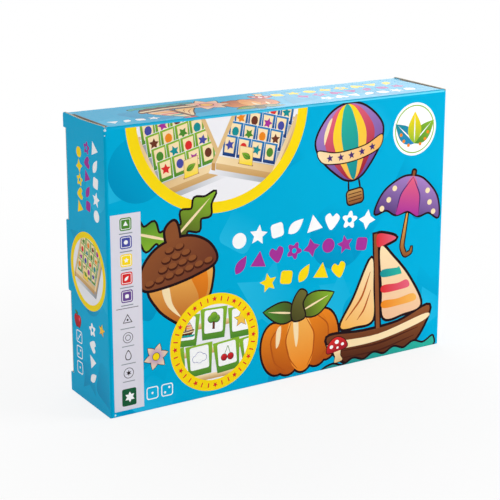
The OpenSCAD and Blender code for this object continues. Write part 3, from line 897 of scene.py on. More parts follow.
def fillMesh(name, points, faceSets, materials, creaseAngle=40):
    # faceSets: corner numbers, material, colour per corner, flat place per corner
    corners = np.concatenate([faces.ravel() for faces, *_ in faceSets])
    used, corners = np.unique(corners, return_inverse=True)
    sizes = np.concatenate([np.full(len(faces), faces.shape[1]) for faces, *_ in faceSets])
    slots = np.concatenate([np.full(len(faces), slot) for faces, slot, *_ in faceSets])
    mesh = bpy.data.meshes.new(name)
    mesh.vertices.add(len(used))
    mesh.loops.add(len(corners))
    mesh.polygons.add(len(sizes))
    setAll(mesh.vertices, "co", points[used] * mm)
    setAll(mesh.loops, "vertex_index", corners, np.int32)
    setAll(mesh.polygons, "loop_start", np.concatenate([[0], np.cumsum(sizes)[:-1]]), np.int32)
    setAll(mesh.polygons, "material_index", slots, np.int32)
    mesh.update(calc_edges=True)
    shades = np.concatenate([colour.reshape(-1, 3) for _, _, colour, _ in faceSets])
    ink = mesh.color_attributes.new("ink", "FLOAT_COLOR", "CORNER")
    setAll(ink.data, "color", np.hstack([shades, np.ones((len(shades), 1))]))
    flat = mesh.uv_layers.new(name="flat")
    setAll(flat.data, "uv", np.concatenate([uv.reshape(-1, 2) for *_, uv in faceSets]))
    setAll(mesh.polygons, "use_smooth", np.ones(len(sizes)), bool)
    mesh.set_sharp_from_angle(angle=math.radians(creaseAngle))
    for material in materials:
        mesh.materials.append(material)
    piece = bpy.data.objects.new(name, mesh)
    bpy.context.scene.collection.objects.link(piece)
    return piece


def give(tree, node, inputs):
    # each input gets a value, or a link from a socket or from a node's first output
    for socket, source in inputs.items():
        if isinstance(source, bpy.types.Node):
            source = source.outputs[0]
        if isinstance(source, bpy.types.NodeSocket):
            tree.links.new(source, node.inputs[socket])
        else:
            node.inputs[socket].default_value = source


def addNode(tree, kind, inputs, **settings):
    # adds a node with its settings, and its inputs as links or values
    node = tree.nodes.new("ShaderNode" + kind)
    for key, value in settings.items():
        setattr(node, key, value)
    give(tree, node, inputs)
    return node


def newMaterial(name):
    # a plain principled material
    material = bpy.data.materials.new(name)
    material.use_nodes = True
    tree = material.node_tree
    tree.nodes.clear()
    shader = addNode(tree, "BsdfPrincipled", {})
    addNode(tree, "OutputMaterial", {"Surface": shader})
    return material, tree, shader


def perMetre(size):
    # a pattern's scale from the real size of its marks in millimetres
    return 1 / (size * mm)


film = dict(tone=110, patch=16, wave=2.4)  # drift of the ink, patches of film, waves of the board below


def glossLaminate():
    # offset print under gloss film on fluted board: even colour and a soft sheen that shows at a low angle
    material, tree, shader = newMaterial("glossLaminatedPrint")
    place = addNode(tree, "TexCoord", {}).outputs["Object"]
    ink = addNode(tree, "Attribute", {}, attribute_name="ink").outputs["Color"]
    cloud = addNode(tree, "TexNoise", {"Vector": place, "Scale": perMetre(film["tone"]), "Detail": 3.0})
    tone = addNode(tree, "MapRange", {"Value": cloud, "To Min": 0.965, "To Max": 1.035})
    shade = addNode(tree, "VectorMath", {0: ink, 1: tone}, operation="MULTIPLY")
    patch = addNode(tree, "TexNoise", {"Vector": place, "Scale": perMetre(film["patch"]), "Detail": 2.0})
    rough = addNode(tree, "MapRange", {"Value": patch, "To Min": 0.2, "To Max": 0.28})
    wave = addNode(tree, "TexNoise", {"Vector": place, "Scale": perMetre(film["wave"]), "Detail": 1.0})
    bump = addNode(tree, "Bump", {"Height": wave, "Strength": 0.04, "Distance": 0.0004})
    give(tree, shader, {"Base Color": shade, "Roughness": rough, "Normal": bump, "Specular IOR Level": 0.02})
    return material


def boardLiner():
    # recycled white-lined board: matt, faintly grey, with flecks of fibre 1.1 mm long. Its clouds of pulp are
    # a few millimetres wide and are drawn at 33, because finer ones don't show.
    material, tree, shader = newMaterial("boardInnerLiner")
    place = addNode(tree, "TexCoord", {}).outputs["Object"]
    fibre = addNode(tree, "TexNoise", {"Vector": place, "Scale": perMetre(1.1), "Detail": 4.0})
    cloud = addNode(tree, "TexNoise", {"Vector": place, "Scale": perMetre(33), "Detail": 2.0})
    both = addNode(tree, "Math", {0: fibre, 1: cloud}, operation="MULTIPLY")
    colour = addNode(tree, "Mix", {"Factor": both, 6: rgba("#B9B2A4"), 7: rgba("#EFEBE2")},
                     data_type="RGBA")
    bump = addNode(tree, "Bump", {"Height": fibre, "Strength": 0.2, "Distance": 0.0003})
    give(tree, shader, {"Base Color": colour.outputs[2], "Normal": bump, "Roughness": 0.85})
    return material


def rawEdge():
    # the cut edge of fluted board: two pale liners, a wave of brown medium, and the hollows between painted
    # darker as the shade inside them
    material, tree, shader = newMaterial("cutFlutedEdge")
    uv = addNode(tree, "UVMap", {}, uv_map="flat")
    parts = addNode(tree, "SeparateXYZ", {"Vector": uv}).outputs
    turn = addNode(tree, "Math", {0: parts["X"], 1: 2 * math.pi}, operation="MULTIPLY")
    wave = addNode(tree, "Math", {0: turn}, operation="SINE")
    middle = addNode(tree, "Math", {0: wave, 1: 0.3, 2: 0.5}, operation="MULTIPLY_ADD")
    gap = addNode(tree, "Math", {0: parts["Y"], 1: middle}, operation="SUBTRACT")
    onMedium = addNode(tree, "Math", {0: gap, 1: 0.0, 2: flutes["medium"]}, operation="COMPARE")
    inside = addNode(tree, "Math", {0: parts["Y"], 1: 0.5, 2: 0.5 - flutes["liner"]}, operation="COMPARE")
    # the first colour is painted shade in the hollows between the flutes, the second the brown medium
    medium = addNode(tree, "Mix", {"Factor": onMedium, 6: rgba("#A3957C"), 7: rgba("#CFBF9F")},
                     data_type="RGBA")
    colour = addNode(tree, "Mix", {"Factor": inside, 6: rgba("#EAE4D3"), 7: medium.outputs[2]},
                     data_type="RGBA")
    give(tree, shader, {"Base Color": colour.outputs[2], "Roughness": 0.9})
    return material


def greyboardEdge():
    # die-cut card edge: matt, warm grey, mottled by its fibres, which are finer than the 0.7 mm drawn
    material, tree, shader = newMaterial("cutGreyboardEdge")
    place = addNode(tree, "TexCoord", {}).outputs["Object"]
    fibre = addNode(tree, "TexNoise", {"Vector": place, "Scale": perMetre(0.7), "Detail": 3.0})
    colour = addNode(tree, "Mix", {"Factor": fibre, 6: rgba("#CFC8BB"), 7: rgba("#F1EDE4")},
                     data_type="RGBA")
    give(tree, shader, {"Base Color": colour.outputs[2], "Roughness": 0.9})
    return material


def sawnWood(name, pale, dark, along):
    # sanded wood, soft and matt: growth rings 4.8 mm apart, drawn out along the grain, and pores of 0.5 mm,
    # which are coarser than real so that they show
    material, tree, shader = newMaterial(name)
    place = addNode(tree, "TexCoord", {}).outputs["Object"]
    stretch = [0.06 if i == along else 1.0 for i in range(3)]
    grain = addNode(tree, "Mapping", {"Vector": place, "Scale": stretch})
    rings = addNode(tree, "TexNoise", {"Vector": grain, "Scale": perMetre(4.8), "Detail": 3.0,
                                       "Distortion": 0.6})
    pores = addNode(tree, "TexNoise", {"Vector": grain, "Scale": perMetre(0.5), "Detail": 2.0})
    both = addNode(tree, "Math", {0: rings, 1: pores}, operation="ADD")
    ramp = addNode(tree, "MapRange", {"Value": both, "From Min": 0.84, "From Max": 1.16})
    colour = addNode(tree, "Mix", {"Factor": ramp, 6: rgba(dark), 7: rgba(pale)},
                     data_type="RGBA")
    bump = addNode(tree, "Bump", {"Height": pores, "Strength": 0.15, "Distance": 0.0002})
    give(tree, shader, {"Base Color": colour.outputs[2], "Normal": bump, "Roughness": 0.6})
    return material


def mouldedPlastic(name, code):
    # injection-moulded ABS: even colour and a satin skin, whose spark-eroded grain is drawn coarser than real
    material, tree, shader = newMaterial(name)
    place = addNode(tree, "TexCoord", {}).outputs["Object"]
    base = toLinear(code)
    low, high = (*(base * 0.94), 1), (*np.minimum(base * 1.05, 1), 1)
    cloud = addNode(tree, "TexNoise", {"Vector": place, "Scale": perMetre(25), "Detail": 2.0})
    colour = addNode(tree, "Mix", {"Factor": cloud, 6: low, 7: high}, data_type="RGBA")
    grain = addNode(tree, "TexNoise", {"Vector": place, "Scale": perMetre(0.45), "Detail": 1.0})
    bump = addNode(tree, "Bump", {"Height": grain, "Strength": 0.12, "Distance": 0.0001})
    give(tree, shader, {"Base Color": colour.outputs[2], "Normal": bump, "Roughness": 0.34})
    return material


laminate, liner = glossLaminate(), boardLiner()
boardSkin = [laminate, liner, rawEdge()]
cardSkin = [laminate, liner, greyboardEdge()]
print("materials ready")


def foldedLine(corners, radius):
    # straight runs that arcs of one radius join; each run's outward side is on its left
    points = np.array(corners, float)
    step = np.diff(points, axis=0)
    length = np.linalg.norm(step, axis=1)
    along = step / length[:, None]
    return dict(points=points, along=along, away=np.stack([-along[:, 1], along[:, 0]], 1), length=length,
                start=np.concatenate([[0], np.cumsum(length)]), radius=radius)


def onLine(line, s, under):
    # the place at distance s along the line, that far under its outer side, with each corner as an arc
    out, last, r = np.zeros((len(s), 2)), len(line["length"]) - 1, line["radius"]
    for k, length in enumerate(line["length"]):
        run = s - line["start"][k]
        on = (run >= -1e-3) & (run <= length + 1e-3)
        run = run[on]
        before = np.clip((r - run) / r, 0, 1) * (k > 0)
        after = np.clip((run - (length - r)) / r, 0, 1) * (k < last)
        turn = (np.pi / 4 * (after - before))[:, None]
        away, along = line["away"][k], line["along"][k]
        n = away * np.cos(turn) + along * np.sin(turn)
        straight = np.clip(run, r if k > 0 else 0, length - r if k < last else length)
        out[on] = line["points"][k] + along * straight[:, None] - away * r + n * (r - under[on][:, None])
    return out


# The sleeve's section, from the bottom's free edge round the front, top and back to the glued flap.
girth = foldedLine([
    (carton["back"] - carton["footGap"], 0), (carton["front"], 0), (carton["front"], carton["height"]),
    (carton["back"], carton["height"]), (carton["back"], board),
    (carton["back"] - board - carton["glueFlap"], board),
], fold)
frontStart, topStart, backStart, flapStart, flapEnd = girth["start"][1:]
folds = (frontStart, topStart, backStart, flapStart)
panelBow = dict(bottom=0.0, front=0.45, top=0.5, back=0.6, flap=0.0)  # how far each panel's middle lies in
slowWave = dict(share=0.25, across=0.023, along=0.019)  # of the bow, and radians per millimetre


def sleeveUnder(flat):
    # a panel's hollow: two parabolas multiplied, one along the girth and one across, with a slow wave
    x, s = flat[:, 0], flat[:, 1]
    across = np.clip(1 - (x / carton["open"]) ** 2, 0, 1)
    under = np.zeros(len(flat))
    for k, bow in enumerate(panelBow.values()):
        u = (s - girth["start"][k]) / girth["length"][k]
        on = (u >= 0) & (u <= 1)
        wave = np.sin(x * slowWave["across"] + 0.6 + k) * np.cos(s * slowWave["along"] + k)
        wave = 1 - slowWave["share"] * (1 - wave)
        under[on] = (bow * 4 * u * (1 - u) * across * wave)[on]
    return under


def sleeveOuter(flat):
    return np.column_stack([flat[:, 0], onLine(girth, flat[:, 1], sleeveUnder(flat))])


def sleeveInner(flat):
    return np.column_stack([flat[:, 0], onLine(girth, flat[:, 1], sleeveUnder(flat) + board)])


def sleevePiece(name, side, layers):
    # side: the right half's outline; the left half mirrors it. Lines across each fold let it bend round.
    outline = np.array(side + [(-x, s) for x, s in side[::-1]], float)
    low, high, reach = outline[:, 1].min(), outline[:, 1].max(), carton["end"]
    bends = [s + fold * k / 4 for s in folds for k in range(-4, 5)]
    lines = [[[-reach, s], [reach, s]] for s in bends if low < s < high]
    piece = fillMesh(name, *boardSheet(outline, lines, layers, "cyan", sleeveOuter, sleeveInner), boardSkin)
    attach(piece, "carton")
    print(name, len(piece.data.polygons), "faces")
    return piece


def frontSheet(layers):
    # front coordinates to the sleeve's flat sheet, cut off at the front's folds
    window = bar(0, (frontStart + topStart) / 2, 400, topStart - frontStart)
    return clipped(placed(layers, 0, frontStart, 1), window)


def makeSleeve():
    # front, top, back and bottom are one folded sheet; each is a piece that ends just past the folds
    ends, frontEnd = carton["open"], carton["end"] - fold - carton["leadIn"]
    notch = -dust[0, 0] - carton["dustInset"] - fold - carton["leadIn"]  # clear of the dust flaps' creases
    footEdge = carton["back"] - carton["footGap"]
    bottomNotch, topNotch = footEdge - dust[::-1, 1], topStart + dust[:, 1] - carton["front"]
    past = fold + 0.5
    low, high, far = frontStart - past, topStart + past, backStart - past
    bottom = [(ends, 0), (ends, bottomNotch[0]), (notch, bottomNotch[0]), (notch, bottomNotch[1])]
    if bottomNotch[1] < low:
        bottom += [(ends, bottomNotch[1]), (ends, low)]
    front = [(ends, low), (ends, frontStart), (frontEnd, frontStart), (frontEnd, topStart), (ends, topStart),
             (ends, high)]
    top = [(ends, high), (ends, topNotch[0]), (notch, topNotch[0]), (notch, topNotch[1]), (ends, topNotch[1]),
           (ends, far)]
    inset, flapEdge = ends - carton["glueSetback"], flapStart - 1
    back = [(ends, far), (ends, flapEdge), (inset, flapEdge), (inset - carton["glueSlant"], flapEnd)]
    sleevePiece("sleeve_bottom", bottom, bottomLayers())
    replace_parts(sleevePiece("sleeve_front", front, frontSheet(frontLayers())), "sleeve")
    sleevePiece("sleeve_top", top, topLayers())
    sleevePiece("sleeve_back_with_glue_flap", back, backLayers())


def creaseStrip(name, centre, fromAway, toAway, along, outline, ground="cyan", layers=()):
    # a quarter tube of board between two panels: it starts facing one way and ends facing the other
    centre, fromAway, toAway, along = (np.array(v, float) for v in (centre, fromAway, toAway, along))

    def bent(flat, r):
        run = flat[:, :1]
        turn = np.clip(run / foldArc, 0, 1) * np.pi / 2
        lead = np.minimum(run, 0) * toAway - np.maximum(run - foldArc, 0) * fromAway
        return centre + r * (np.cos(turn) * fromAway + np.sin(turn) * toAway) + lead + flat[:, 1:] * along

    def outer(flat):
        return bent(flat, fold)

    def inner(flat):
        return bent(flat, crease)

    low, high = outline[:, 1].min() - 1, outline[:, 1].max() + 1
    lines = [[[foldArc * k / 8, low], [foldArc * k / 8, high]] for k in range(9)]
    piece = fillMesh(name, *boardSheet(outline, lines, list(layers), ground, outer, inner, 15), boardSkin)
    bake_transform(piece)
    return piece


def stripOutline(low, high, farLow=None, farHigh=None):
    # across the fold and along it; the far side may reach another height
    lead = carton["leadIn"]
    farLow, farHigh = (low if farLow is None else farLow), (high if farHigh is None else farHigh)
    return np.array([(-lead, low), (foldArc + lead, farLow), (foldArc + lead, farHigh), (-lead, high)], float)


def quarter(cx, cy, r, fromTurn, n=6):
    # a quarter circle, anticlockwise
    a = np.radians(np.linspace(fromTurn, fromTurn + 90, n))
    return [(cx + r * math.cos(t), cy + r * math.sin(t)) for t in a]


endCut = dict(corner=0.8, headCorner=3.0, hollow=0.4)  # corner radii, and how far the panel's middle lies in
chips = [(1.1, 239.8, 1.2), (1.6, 235.4, 0.6)]  # bare spots on the left front crease: across, up, radius


def endOutline(dip, lean):
    # seen along +X: front edge, foot, shoulder, fold, lock tab, fold, shoulder, head; the head's edge sags by
    # dip at its middle as a sine, and by lean towards the front
    first, foldEdge = carton["front"] + fold + carton["leadIn"], tuck[1, 1] - fold - carton["leadIn"]
    low, high, tabLow, tabHigh = (carton[key] for key in ("shoulderLow", "shoulderHigh", "tabLow", "tabHigh"))
    tab, top, r, corner, headCorner = (
        carton["tab"], carton["top"], carton["tabRadius"], endCut["corner"], endCut["headCorner"])
    back = tab - headCorner
    u = np.linspace(0, 1, 9)[1:-1]
    head = np.stack([first + (back - first) * (1 - u), top - dip * np.sin(np.pi * u) - lean * u], 1)
    return np.array([
        (first, 0), *quarter(tab - corner, corner, corner, -90, 4),
        *quarter(tab - corner, low - corner, corner, 0, 4), (foldEdge, low), (foldEdge, tabLow),
        *quarter(tab - r, tabLow + r, r, -90), *quarter(tab - r, tabHigh - r, r, 0),
        (foldEdge, tabHigh), (foldEdge, high),
        *quarter(tab - corner, high + corner, corner, -90, 4),
        *quarter(back, top - headCorner, headCorner, 0), *head, (first, top - lean),
    ], float)


def makeEndPanel(word, side):
    # its printed face lies in by two parabolas multiplied, one along the depth and one upwards
    middle = (carton["front"] + tuck[1, 1]) / 2

    def sunk(flat, under):
        across = np.clip(1 - ((flat[:, 0] - middle) / (depth / 2)) ** 2, 0, 1)
        upward = np.clip(1 - (flat[:, 1] / carton["height"] * 2 - 1) ** 2, 0, 1)
        hollow = endCut["hollow"] * across * upward
        return np.column_stack([side * (carton["end"] - hollow - under), flat])

    def outer(flat):
        return sunk(flat, 0)

    def inner(flat):
        return sunk(flat, board)

    sheet = boardSheet(endOutline(*carton["headSag"][word]), [], endLayers(), "cyan", outer, inner)
    panel = fillMesh(f"end_panel_{word}_board", *sheet, boardSkin)
    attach(panel, f"end_{word}")
    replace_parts(panel, f"end_panel_{word}")
    centre = (side * (carton["end"] - fold), carton["front"] + fold, 0)
    outline = stripOutline(1.0, carton["height"] - 1.0, 0.0, carton["top"] - carton["headSag"][word][1])
    bare = scuffs(*chips) if word == "left" else ()
    creaseStrip(f"front_crease_{word}", centre, (0, -1, 0), (side, 0, 0),
                (0, 0, 1), outline, layers=bare)


tuckCut = dict(corner=8.0, notch=4.1)  # the tip's corner radius, and how far in the lock tab's hole runs


def tuckOutline():
    # seen from behind, from the fold inwards: rounded tip, and the hole that the lock tab left
    first, tip = fold + carton["leadIn"], tuck[1, 0] - tuck[0, 0] + board
    low, high, r, deep = tuck[0, 2], tuck[1, 2], tuckCut["corner"], tuckCut["notch"]
    holeLow, holeHigh = carton["tabLow"] - carton["tabGap"], carton["tabHigh"] + carton["tabGap"]
    return np.array([
        (first, low), *quarter(tip - r, low + r, r, -90, 9), *quarter(tip - r, high - r, r, 0, 9),
        (first, high), (first, holeHigh), (deep, holeHigh), (deep, holeLow), (first, holeLow),
    ], float)


def makeTuckFlap(word, side):
    # its outer face looks to the back, and a crease strip stands on each side of the lock tab
    end, back = side * carton["end"], tuck[1, 1]

    def outer(flat):
        return np.column_stack([end - side * flat[:, 0], np.full(len(flat), back), flat[:, 1]])

    def inner(flat):
        return outer(flat) - [0, board, 0]

    sheet = boardSheet(tuckOutline(), [], [], "paper", outer, inner)
    flap = fillMesh(f"tuck_flap_{word}_board", *sheet, boardSkin)
    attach(flap, f"tuck_{word}")
    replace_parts(flap, f"tuck_flap_{word}")
    spans = dict(low=(tuck[0, 2], carton["tabLow"] - carton["tabGap"]),
                 high=(carton["tabHigh"] + carton["tabGap"], tuck[1, 2]))
    centre = (end - side * fold, back - fold, 0)
    for level, span in spans.items():
        creaseStrip(f"tuck_crease_{word}_{level}", centre, (side, 0, 0),
                    (0, 1, 0), (0, 0, 1), stripOutline(*span))


dustCut = dict(bevel=24.0, corner=3.0, bleed=14.0)  # the print laps this far over the fold


def dustOutline():
    # along the depth and away from the fold: bevelled front edge, one rounded corner
    first, tip, r = fold + carton["leadIn"], carton["height"] - dust[0, 2], dustCut["corner"]
    front, back = dust[:, 1]
    bevel = quarter(front + dustCut["bevel"] + r, tip - r, r, 90)[:3]
    return np.array([(front, first), (back, first), *quarter(back - r, tip - r, r, 0), *bevel], float)


def makeDustFlap(word, side, level, sign):
    # folded down from the top panel or up from the bottom panel, a little behind the end panel
    end = side * (-dust[0, 0] - carton["dustInset"])
    height = carton["height"] if sign > 0 else 0.0

    def outer(flat):
        return np.column_stack([np.full(len(flat), end), flat[:, 0], height - sign * flat[:, 1]])

    def inner(flat):
        return outer(flat) - [side * board, 0, 0]

    bleed = fill(bar(0, dustCut["bleed"] / 2, 2 * depth, dustCut["bleed"]), "cyan")
    sheet = boardSheet(dustOutline(), [], [bleed], "paper", outer, inner)
    piece = fillMesh(f"dust_flap_{word}_{level}_board", *sheet, boardSkin)
    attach(piece, f"dust_{word}_{level}")
    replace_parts(piece, f"dust_flap_{word}_{level}")
    centre = (end - side * fold, 0, height - sign * fold)
    # the crease's outer face is unprinted board, painted dark as the shade in the fold
    creaseStrip(f"dust_crease_{word}_{level}", centre, (0, 0, sign),
                (side, 0, 0), (0, 1, 0), stripOutline(*dust[:, 1]), ground="shade")


makeSleeve()
for word, side in (("left", -1), ("right", 1)):
    makeEndPanel(word, side)
    makeTuckFlap(word, side)
    makeDustFlap(word, side, "top", 1)
    makeDustFlap(word, side, "bottom", -1)
    print("end", word)


easing = dict(rail=0.0006, rod=0.0004, holder=0.00025)  # metres: width of the bevel on their edges


def eased(node, name, material, body, width, cardBox=None):
    # the node's own shape with its edges broken by a small bevel, and without the card that stands in cardBox
    shape = bmesh.new()
    shape.from_mesh(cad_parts[node].data)
    bmesh.ops.remove_doubles(shape, verts=shape.verts, dist=1e-6)
    if cardBox is not None:
        low, high = cardBox
        card = [v for v in shape.verts if all(low[i] <= v.co[i] <= high[i] for i in range(3))]
        bmesh.ops.delete(shape, geom=card, context="VERTS")
    bmesh.ops.dissolve_limit(shape, angle_limit=math.radians(1), verts=shape.verts, edges=shape.edges)
    mesh = bpy.data.meshes.new(name)
    shape.to_mesh(mesh)
    shape.free()
    setAll(mesh.polygons, "use_smooth", np.ones(len(mesh.polygons)), bool)
    mesh.set_sharp_from_angle(angle=math.radians(40))
    mesh.materials.append(material)
    piece = bpy.data.objects.new(name, mesh)
    bpy.context.scene.collection.objects.link(piece)
    bevel = piece.modifiers.new("eased", "BEVEL")
    bevel.width, bevel.segments, bevel.limit_method, bevel.angle_limit = width, 2, "ANGLE", math.radians(40)
    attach(piece, body)
    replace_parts(piece, node)


cards = dict(
    corner=1.5, border=3,  # of a card, and bare round its panel
    tints=("amber", "ghost", "green", "rose", "yellow", "lilac", "peach", "tan"),
    stack=16, thick=0.75,  # cards in each loose stack
)


def cardSheet(low, high, layers, faceY, backY):
    # a card in the XZ plane: rounded rectangle with print on one face
    outline = bar(*(low + high)[[0, 2]] / 2, *(high - low)[[0, 2]], cards["corner"], 4)

    def face(flat, y=faceY):
        return np.column_stack([flat[:, 0], np.full(len(flat), y), flat[:, 1]])

    def back(flat):
        return face(flat, backY)

    return boardSheet(outline, [], layers, "white", face, back, 20)


def cardPanel(low, high, border, r, ink):
    # a flat-coloured panel that leaves a border in the card's colour
    width, height = (high - low)[[0, 2]] - border
    return fill(bar(*(low + high)[[0, 2]] / 2, width, height, r, 4), ink)


def cardPicture(low, high, number):
    # a coloured panel with one motif on it
    size = min((high - low)[[0, 2]]) * 0.36
    panel = cardPanel(low, high, cards["border"], cards["corner"], cards["tints"][number * 3 % 8])
    return [panel, *placed(motifs[number % 16](), *(low + high)[[0, 2]] / 2, size)]


holder = dict(barrel=4.2, plateFace=20.8)  # the barrels' radius, and the plates' face behind the cards


def cardInHolder(node):
    # the card's box: the points just in front of the plate and below the barrels
    points = nodePoints(node)
    ahead, barrelFoot = points[:, 1] - holder["plateFace"], points[:, 2].max() - 2 * holder["barrel"]
    card = points[(ahead > 0.05) & (ahead < 1.05) & (points[:, 2] < barrelFoot - 0.1)]
    return card.min(0), card.max(0)


def makeHolder(colour, row, column, plastic):
    # the moulding, and its card as a printed sheet of its own
    node, body = f"{colour}_holder_r{row}c{column}", f"{colour}_r{row}c{column}"
    number = 4 * (row - 1) + column - 1 + (5 if colour == "blue" else 0)
    low, high = cardInHolder(node)
    eased(node, node + "_moulding", plastic, body, easing["holder"],
          ((low - 0.01) * mm, (high + 0.01) * mm))
    sheet = cardSheet(low, high, cardPicture(low, high, number), high[1], low[1])
    piece = fillMesh(node + "_card", *sheet, cardSkin)
    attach(piece, body)


def makeFrames():
    pineUp = sawnWood("sandedPineUpright", "#EDD2A4", "#C99A5C", 2)
    pineAcross = sawnWood("sandedPineAcross", "#ECD0A2", "#C7985A", 0)
    beech = sawnWood("turnedBeechRod", "#E6C79B", "#CFA775", 0)
    plastics = dict(green=mouldedPlastic("mouldedGreenABS", "#86B82E"),
                    blue=mouldedPlastic("mouldedBlueABS", "#2C86C8"))
    rails = dict(rail_outer=pineUp, rail_inner=pineUp, front_rail=pineAcross, back_rail=pineAcross)
    for colour, plastic in plastics.items():
        for rail, wood in rails.items():
            eased(f"{colour}_{rail}", f"{colour}_{rail}_wood", wood, "carton", easing["rail"])
        eased(f"{colour}_rods", f"{colour}_rods_wood", beech, "carton", easing["rod"])
        for row in range(1, 5):
            for column in range(1, 5):
                makeHolder(colour, row, column, plastic)
    print("frames and holders")


def blankCard(low, high):
    # a thin pale line round the space to draw in
    return [cardPanel(low, high, 4, 1.2, "ghost"), cardPanel(low, high, 5, 1.0, "white")]


def makeLooseCards():
    for node in ("picture_cards", "blank_cards"):
        low, high = measured(node)
        pitch = (high[1] - low[1] - cards["thick"]) / (cards["stack"] - 1)
        sheets = []
        for i in range(cards["stack"]):
            layers = cardPicture(low, high, i + 3) if node == "picture_cards" else blankCard(low, high)
            y = low[1] + pitch * i
            sheets.append(cardSheet(low, high, layers, y, y + cards["thick"]))
        piece = fillMesh(node + "_stack", *together(sheets), cardSkin)
        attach(piece, "carton")
        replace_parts(piece, node)


leaflet = dict(
    sheets=2, inset=0.12, short=0.5,  # a next sheet lies this far inside the last, and is this much shorter
    forward=0.35,  # clear of the front panel's bow
    thick=0.1, fold=0.1, gutter=0.6,
    row=(24, 90, 9, 8),  # below the head: height, length, shapes' size and their count
    lines=(45, 6, 104, 9, 1.6),  # below the head: start, step, length, shorter by and thickness
    game=(52, 30),  # above the foot: middle, and size
)


def leafletPage(low, high, page):
    # a row of shapes, eight grey lines and the game, on one of the two outer pages
    width = high[0] - low[0]
    x = width / 2 + page * (width + leaflet["gutter"])
    drop, length, size, count = leaflet["row"]
    layers = shapeRow(x - length / 2, high[2] - drop, length, size, count, ("teal", "magenta")[page], page)
    drop, step, length, shorter, thick = leaflet["lines"]
    lines = [bar(x, high[2] - drop - step * k, length - shorter * (k % 3), thick) for k in range(8)]
    layers += fills(lines, "grey")
    up, size = leaflet["game"]
    return layers + placed(printedGame("green", "leaf", page), x, low[2] + up, size)


def leafletSheet(low, high, i):
    # one sheet folded once. The print runs against the line's own direction, so that it reads the right way
    # from outside.
    inset, end = leaflet["inset"] * i, high[0] - leaflet["short"] * i
    near, far, foldX = low[1] + inset, high[1] - inset, low[0] + inset
    line = foldedLine([(end, near), (foldX, near), (foldX, far), (end, far)], leaflet["fold"])
    total = line["start"][-1]
    outline = np.array([(0, low[2]), (total, low[2]), (total, high[2]), (0, high[2])], float)

    def outer(flat, under=0.0):
        level = onLine(line, total - flat[:, 0], np.full(len(flat), under))
        return np.column_stack([level, flat[:, 1]])

    def inner(flat):
        return outer(flat, leaflet["thick"])

    bends = [s + leaflet["fold"] * k / 2 for s in line["start"][1:3] for k in range(-2, 3)]
    lines = [[[s, low[2] - 1], [s, high[2] + 1]] for s in bends]
    layers = leafletPage(low, high, 0) + leafletPage(low, high, 1)
    return boardSheet(outline, lines, layers, "white", outer, inner, 40)


def makeLeaflet():
    # sheets folded once and laid one in the other
    low, high = measured("leaflet")
    low[1] += leaflet["forward"]
    sheets = [leafletSheet(low, high, i) for i in range(leaflet["sheets"])]
    piece = fillMesh("leaflet_folded", *together(sheets), cardSkin)
    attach(piece, "carton")
    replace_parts(piece, "leaflet")


makeFrames()
makeLooseCards()
makeLeaflet()
print("cards and leaflet")


def turnedTo(thing, place, target):
    # stands the camera or a lamp at a place and turns it to look at the target
    thing.location = place
    thing.rotation_mode = "QUATERNION"
    thing.rotation_quaternion = (Vector(target) - Vector(place)).to_track_quat("-Z", "Y")
    bpy.context.scene.collection.objects.link(thing)


view = dict(azimuth=-31.68, elevation=14.16, distance=1.2125, target=(-0.0136, 0.0, 0.1555), lens=100.6,
            shiftY=-0.1)


def setCamera():
    a, e = math.radians(view["azimuth"]), math.radians(view["elevation"])
    back = Vector((math.sin(a) * math.cos(e), -math.cos(a) * math.cos(e), math.sin(e)))
    data = bpy.data.cameras.new("camera")
    data.lens, data.shift_y, data.clip_end = view["lens"], view["shiftY"], 20
    camera = bpy.data.objects.new("camera", data)
    turnedTo(camera, Vector(view["target"]) + back * view["distance"], view["target"])
    bpy.context.scene.camera = camera


lamps = dict(  # metres and watts
    key=dict(at=(1.2, -0.9, 0.75), size=0.9, power=18.4),
    fill=dict(at=(-1.7, -0.5, 0.75), size=1.2, power=6.5),
    rear=dict(at=(0.2, 1.6, 1.4), size=1.5, power=13.5),
    sheen=dict(at=(1.25, 1.2, 0.55), size=0.9, power=5.8),  # low behind, so that the top shines to its right
)
studio = dict(aim=(0, 0, 0.12), dim=0.35)  # where the lamps point, and the world's light on the object


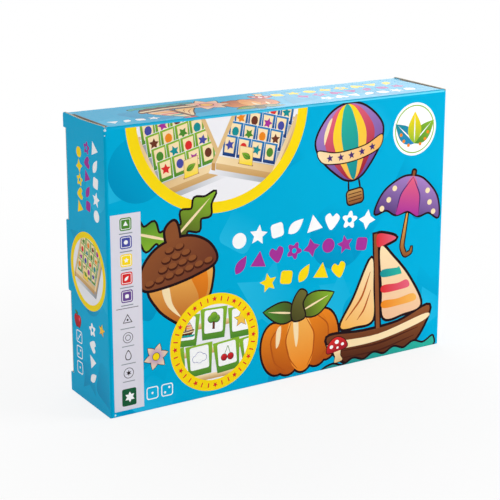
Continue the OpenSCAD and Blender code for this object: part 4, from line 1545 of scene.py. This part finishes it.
def setLights():
    # lamps, and a world that is dim light on the object and pure white to the camera and in reflections
    for name, lamp in lamps.items():
        data = bpy.data.lights.new(name, "AREA")
        data.size, data.energy = lamp["size"], lamp["power"]
        obj = bpy.data.objects.new(name, data)
        obj.visible_camera = False
        turnedTo(obj, lamp["at"], studio["aim"])
    world = bpy.data.worlds.new("studio")
    bpy.context.scene.world = world
    world.use_nodes = True
    tree = world.node_tree
    tree.nodes.clear()
    ray = addNode(tree, "LightPath", {}).outputs
    seen = addNode(tree, "Math", {0: ray["Is Camera Ray"], 1: ray["Is Glossy Ray"]}, operation="MAXIMUM")
    shown = addNode(tree, "Math", {0: seen, 1: ray["Is Transmission Ray"]}, operation="MAXIMUM")
    dim = addNode(tree, "Background", {"Color": rgba("#FFFFFF"), "Strength": studio["dim"]})
    white = addNode(tree, "Background", {"Color": rgba("#FFFFFF"), "Strength": 1.0})
    mix = addNode(tree, "MixShader", {0: shown, 1: dim, 2: white})
    addNode(tree, "OutputWorld", {"Surface": mix})


paper = dict(reach=6.0, near=0.16, far=0.75, shadow=0.18)  # metres, and the share of real light close by


def makeFloor():
    # matt white sweep: pure white to the camera away from the carton, and near it part real light, so that
    # only the soft shadow shows
    mesh = bpy.data.meshes.new("floor")
    r = paper["reach"]
    mesh.from_pydata([(-r, -r, 0), (r, -r, 0), (r, r, 0), (-r, r, 0)], [], [(0, 1, 2, 3)])
    floor = bpy.data.objects.new("floor", mesh)
    bpy.context.scene.collection.objects.link(floor)
    material, tree, shader = newMaterial("studioPaper")
    place = addNode(tree, "TexCoord", {}).outputs["Object"]
    give(tree, shader, {"Base Color": rgba("#FCFCFC"), "Roughness": 0.9, "Specular IOR Level": 0.1})
    away = addNode(tree, "VectorMath", {0: place}, operation="LENGTH")
    white = addNode(tree, "MapRange", {
        "Value": away.outputs["Value"], "From Min": paper["near"], "From Max": paper["far"],
        "To Min": 1 - paper["shadow"], "To Max": 1.0})
    ray = addNode(tree, "LightPath", {}).outputs
    seen = addNode(tree, "Math", {0: ray["Is Camera Ray"], 1: ray["Is Glossy Ray"]}, operation="MAXIMUM")
    share = addNode(tree, "Math", {0: seen, 1: white}, operation="MULTIPLY")
    glow = addNode(tree, "Emission", {"Color": rgba("#FFFFFF"), "Strength": 1.0})
    mix = addNode(tree, "MixShader", {0: share, 1: shader, 2: glow})
    output = next(node for node in tree.nodes if node.type == "OUTPUT_MATERIAL")
    give(tree, output, {"Surface": mix})
    mesh.materials.append(material)


setCamera()
setLights()
makeFloor()
bpy.context.scene.view_settings.view_transform = "Standard"
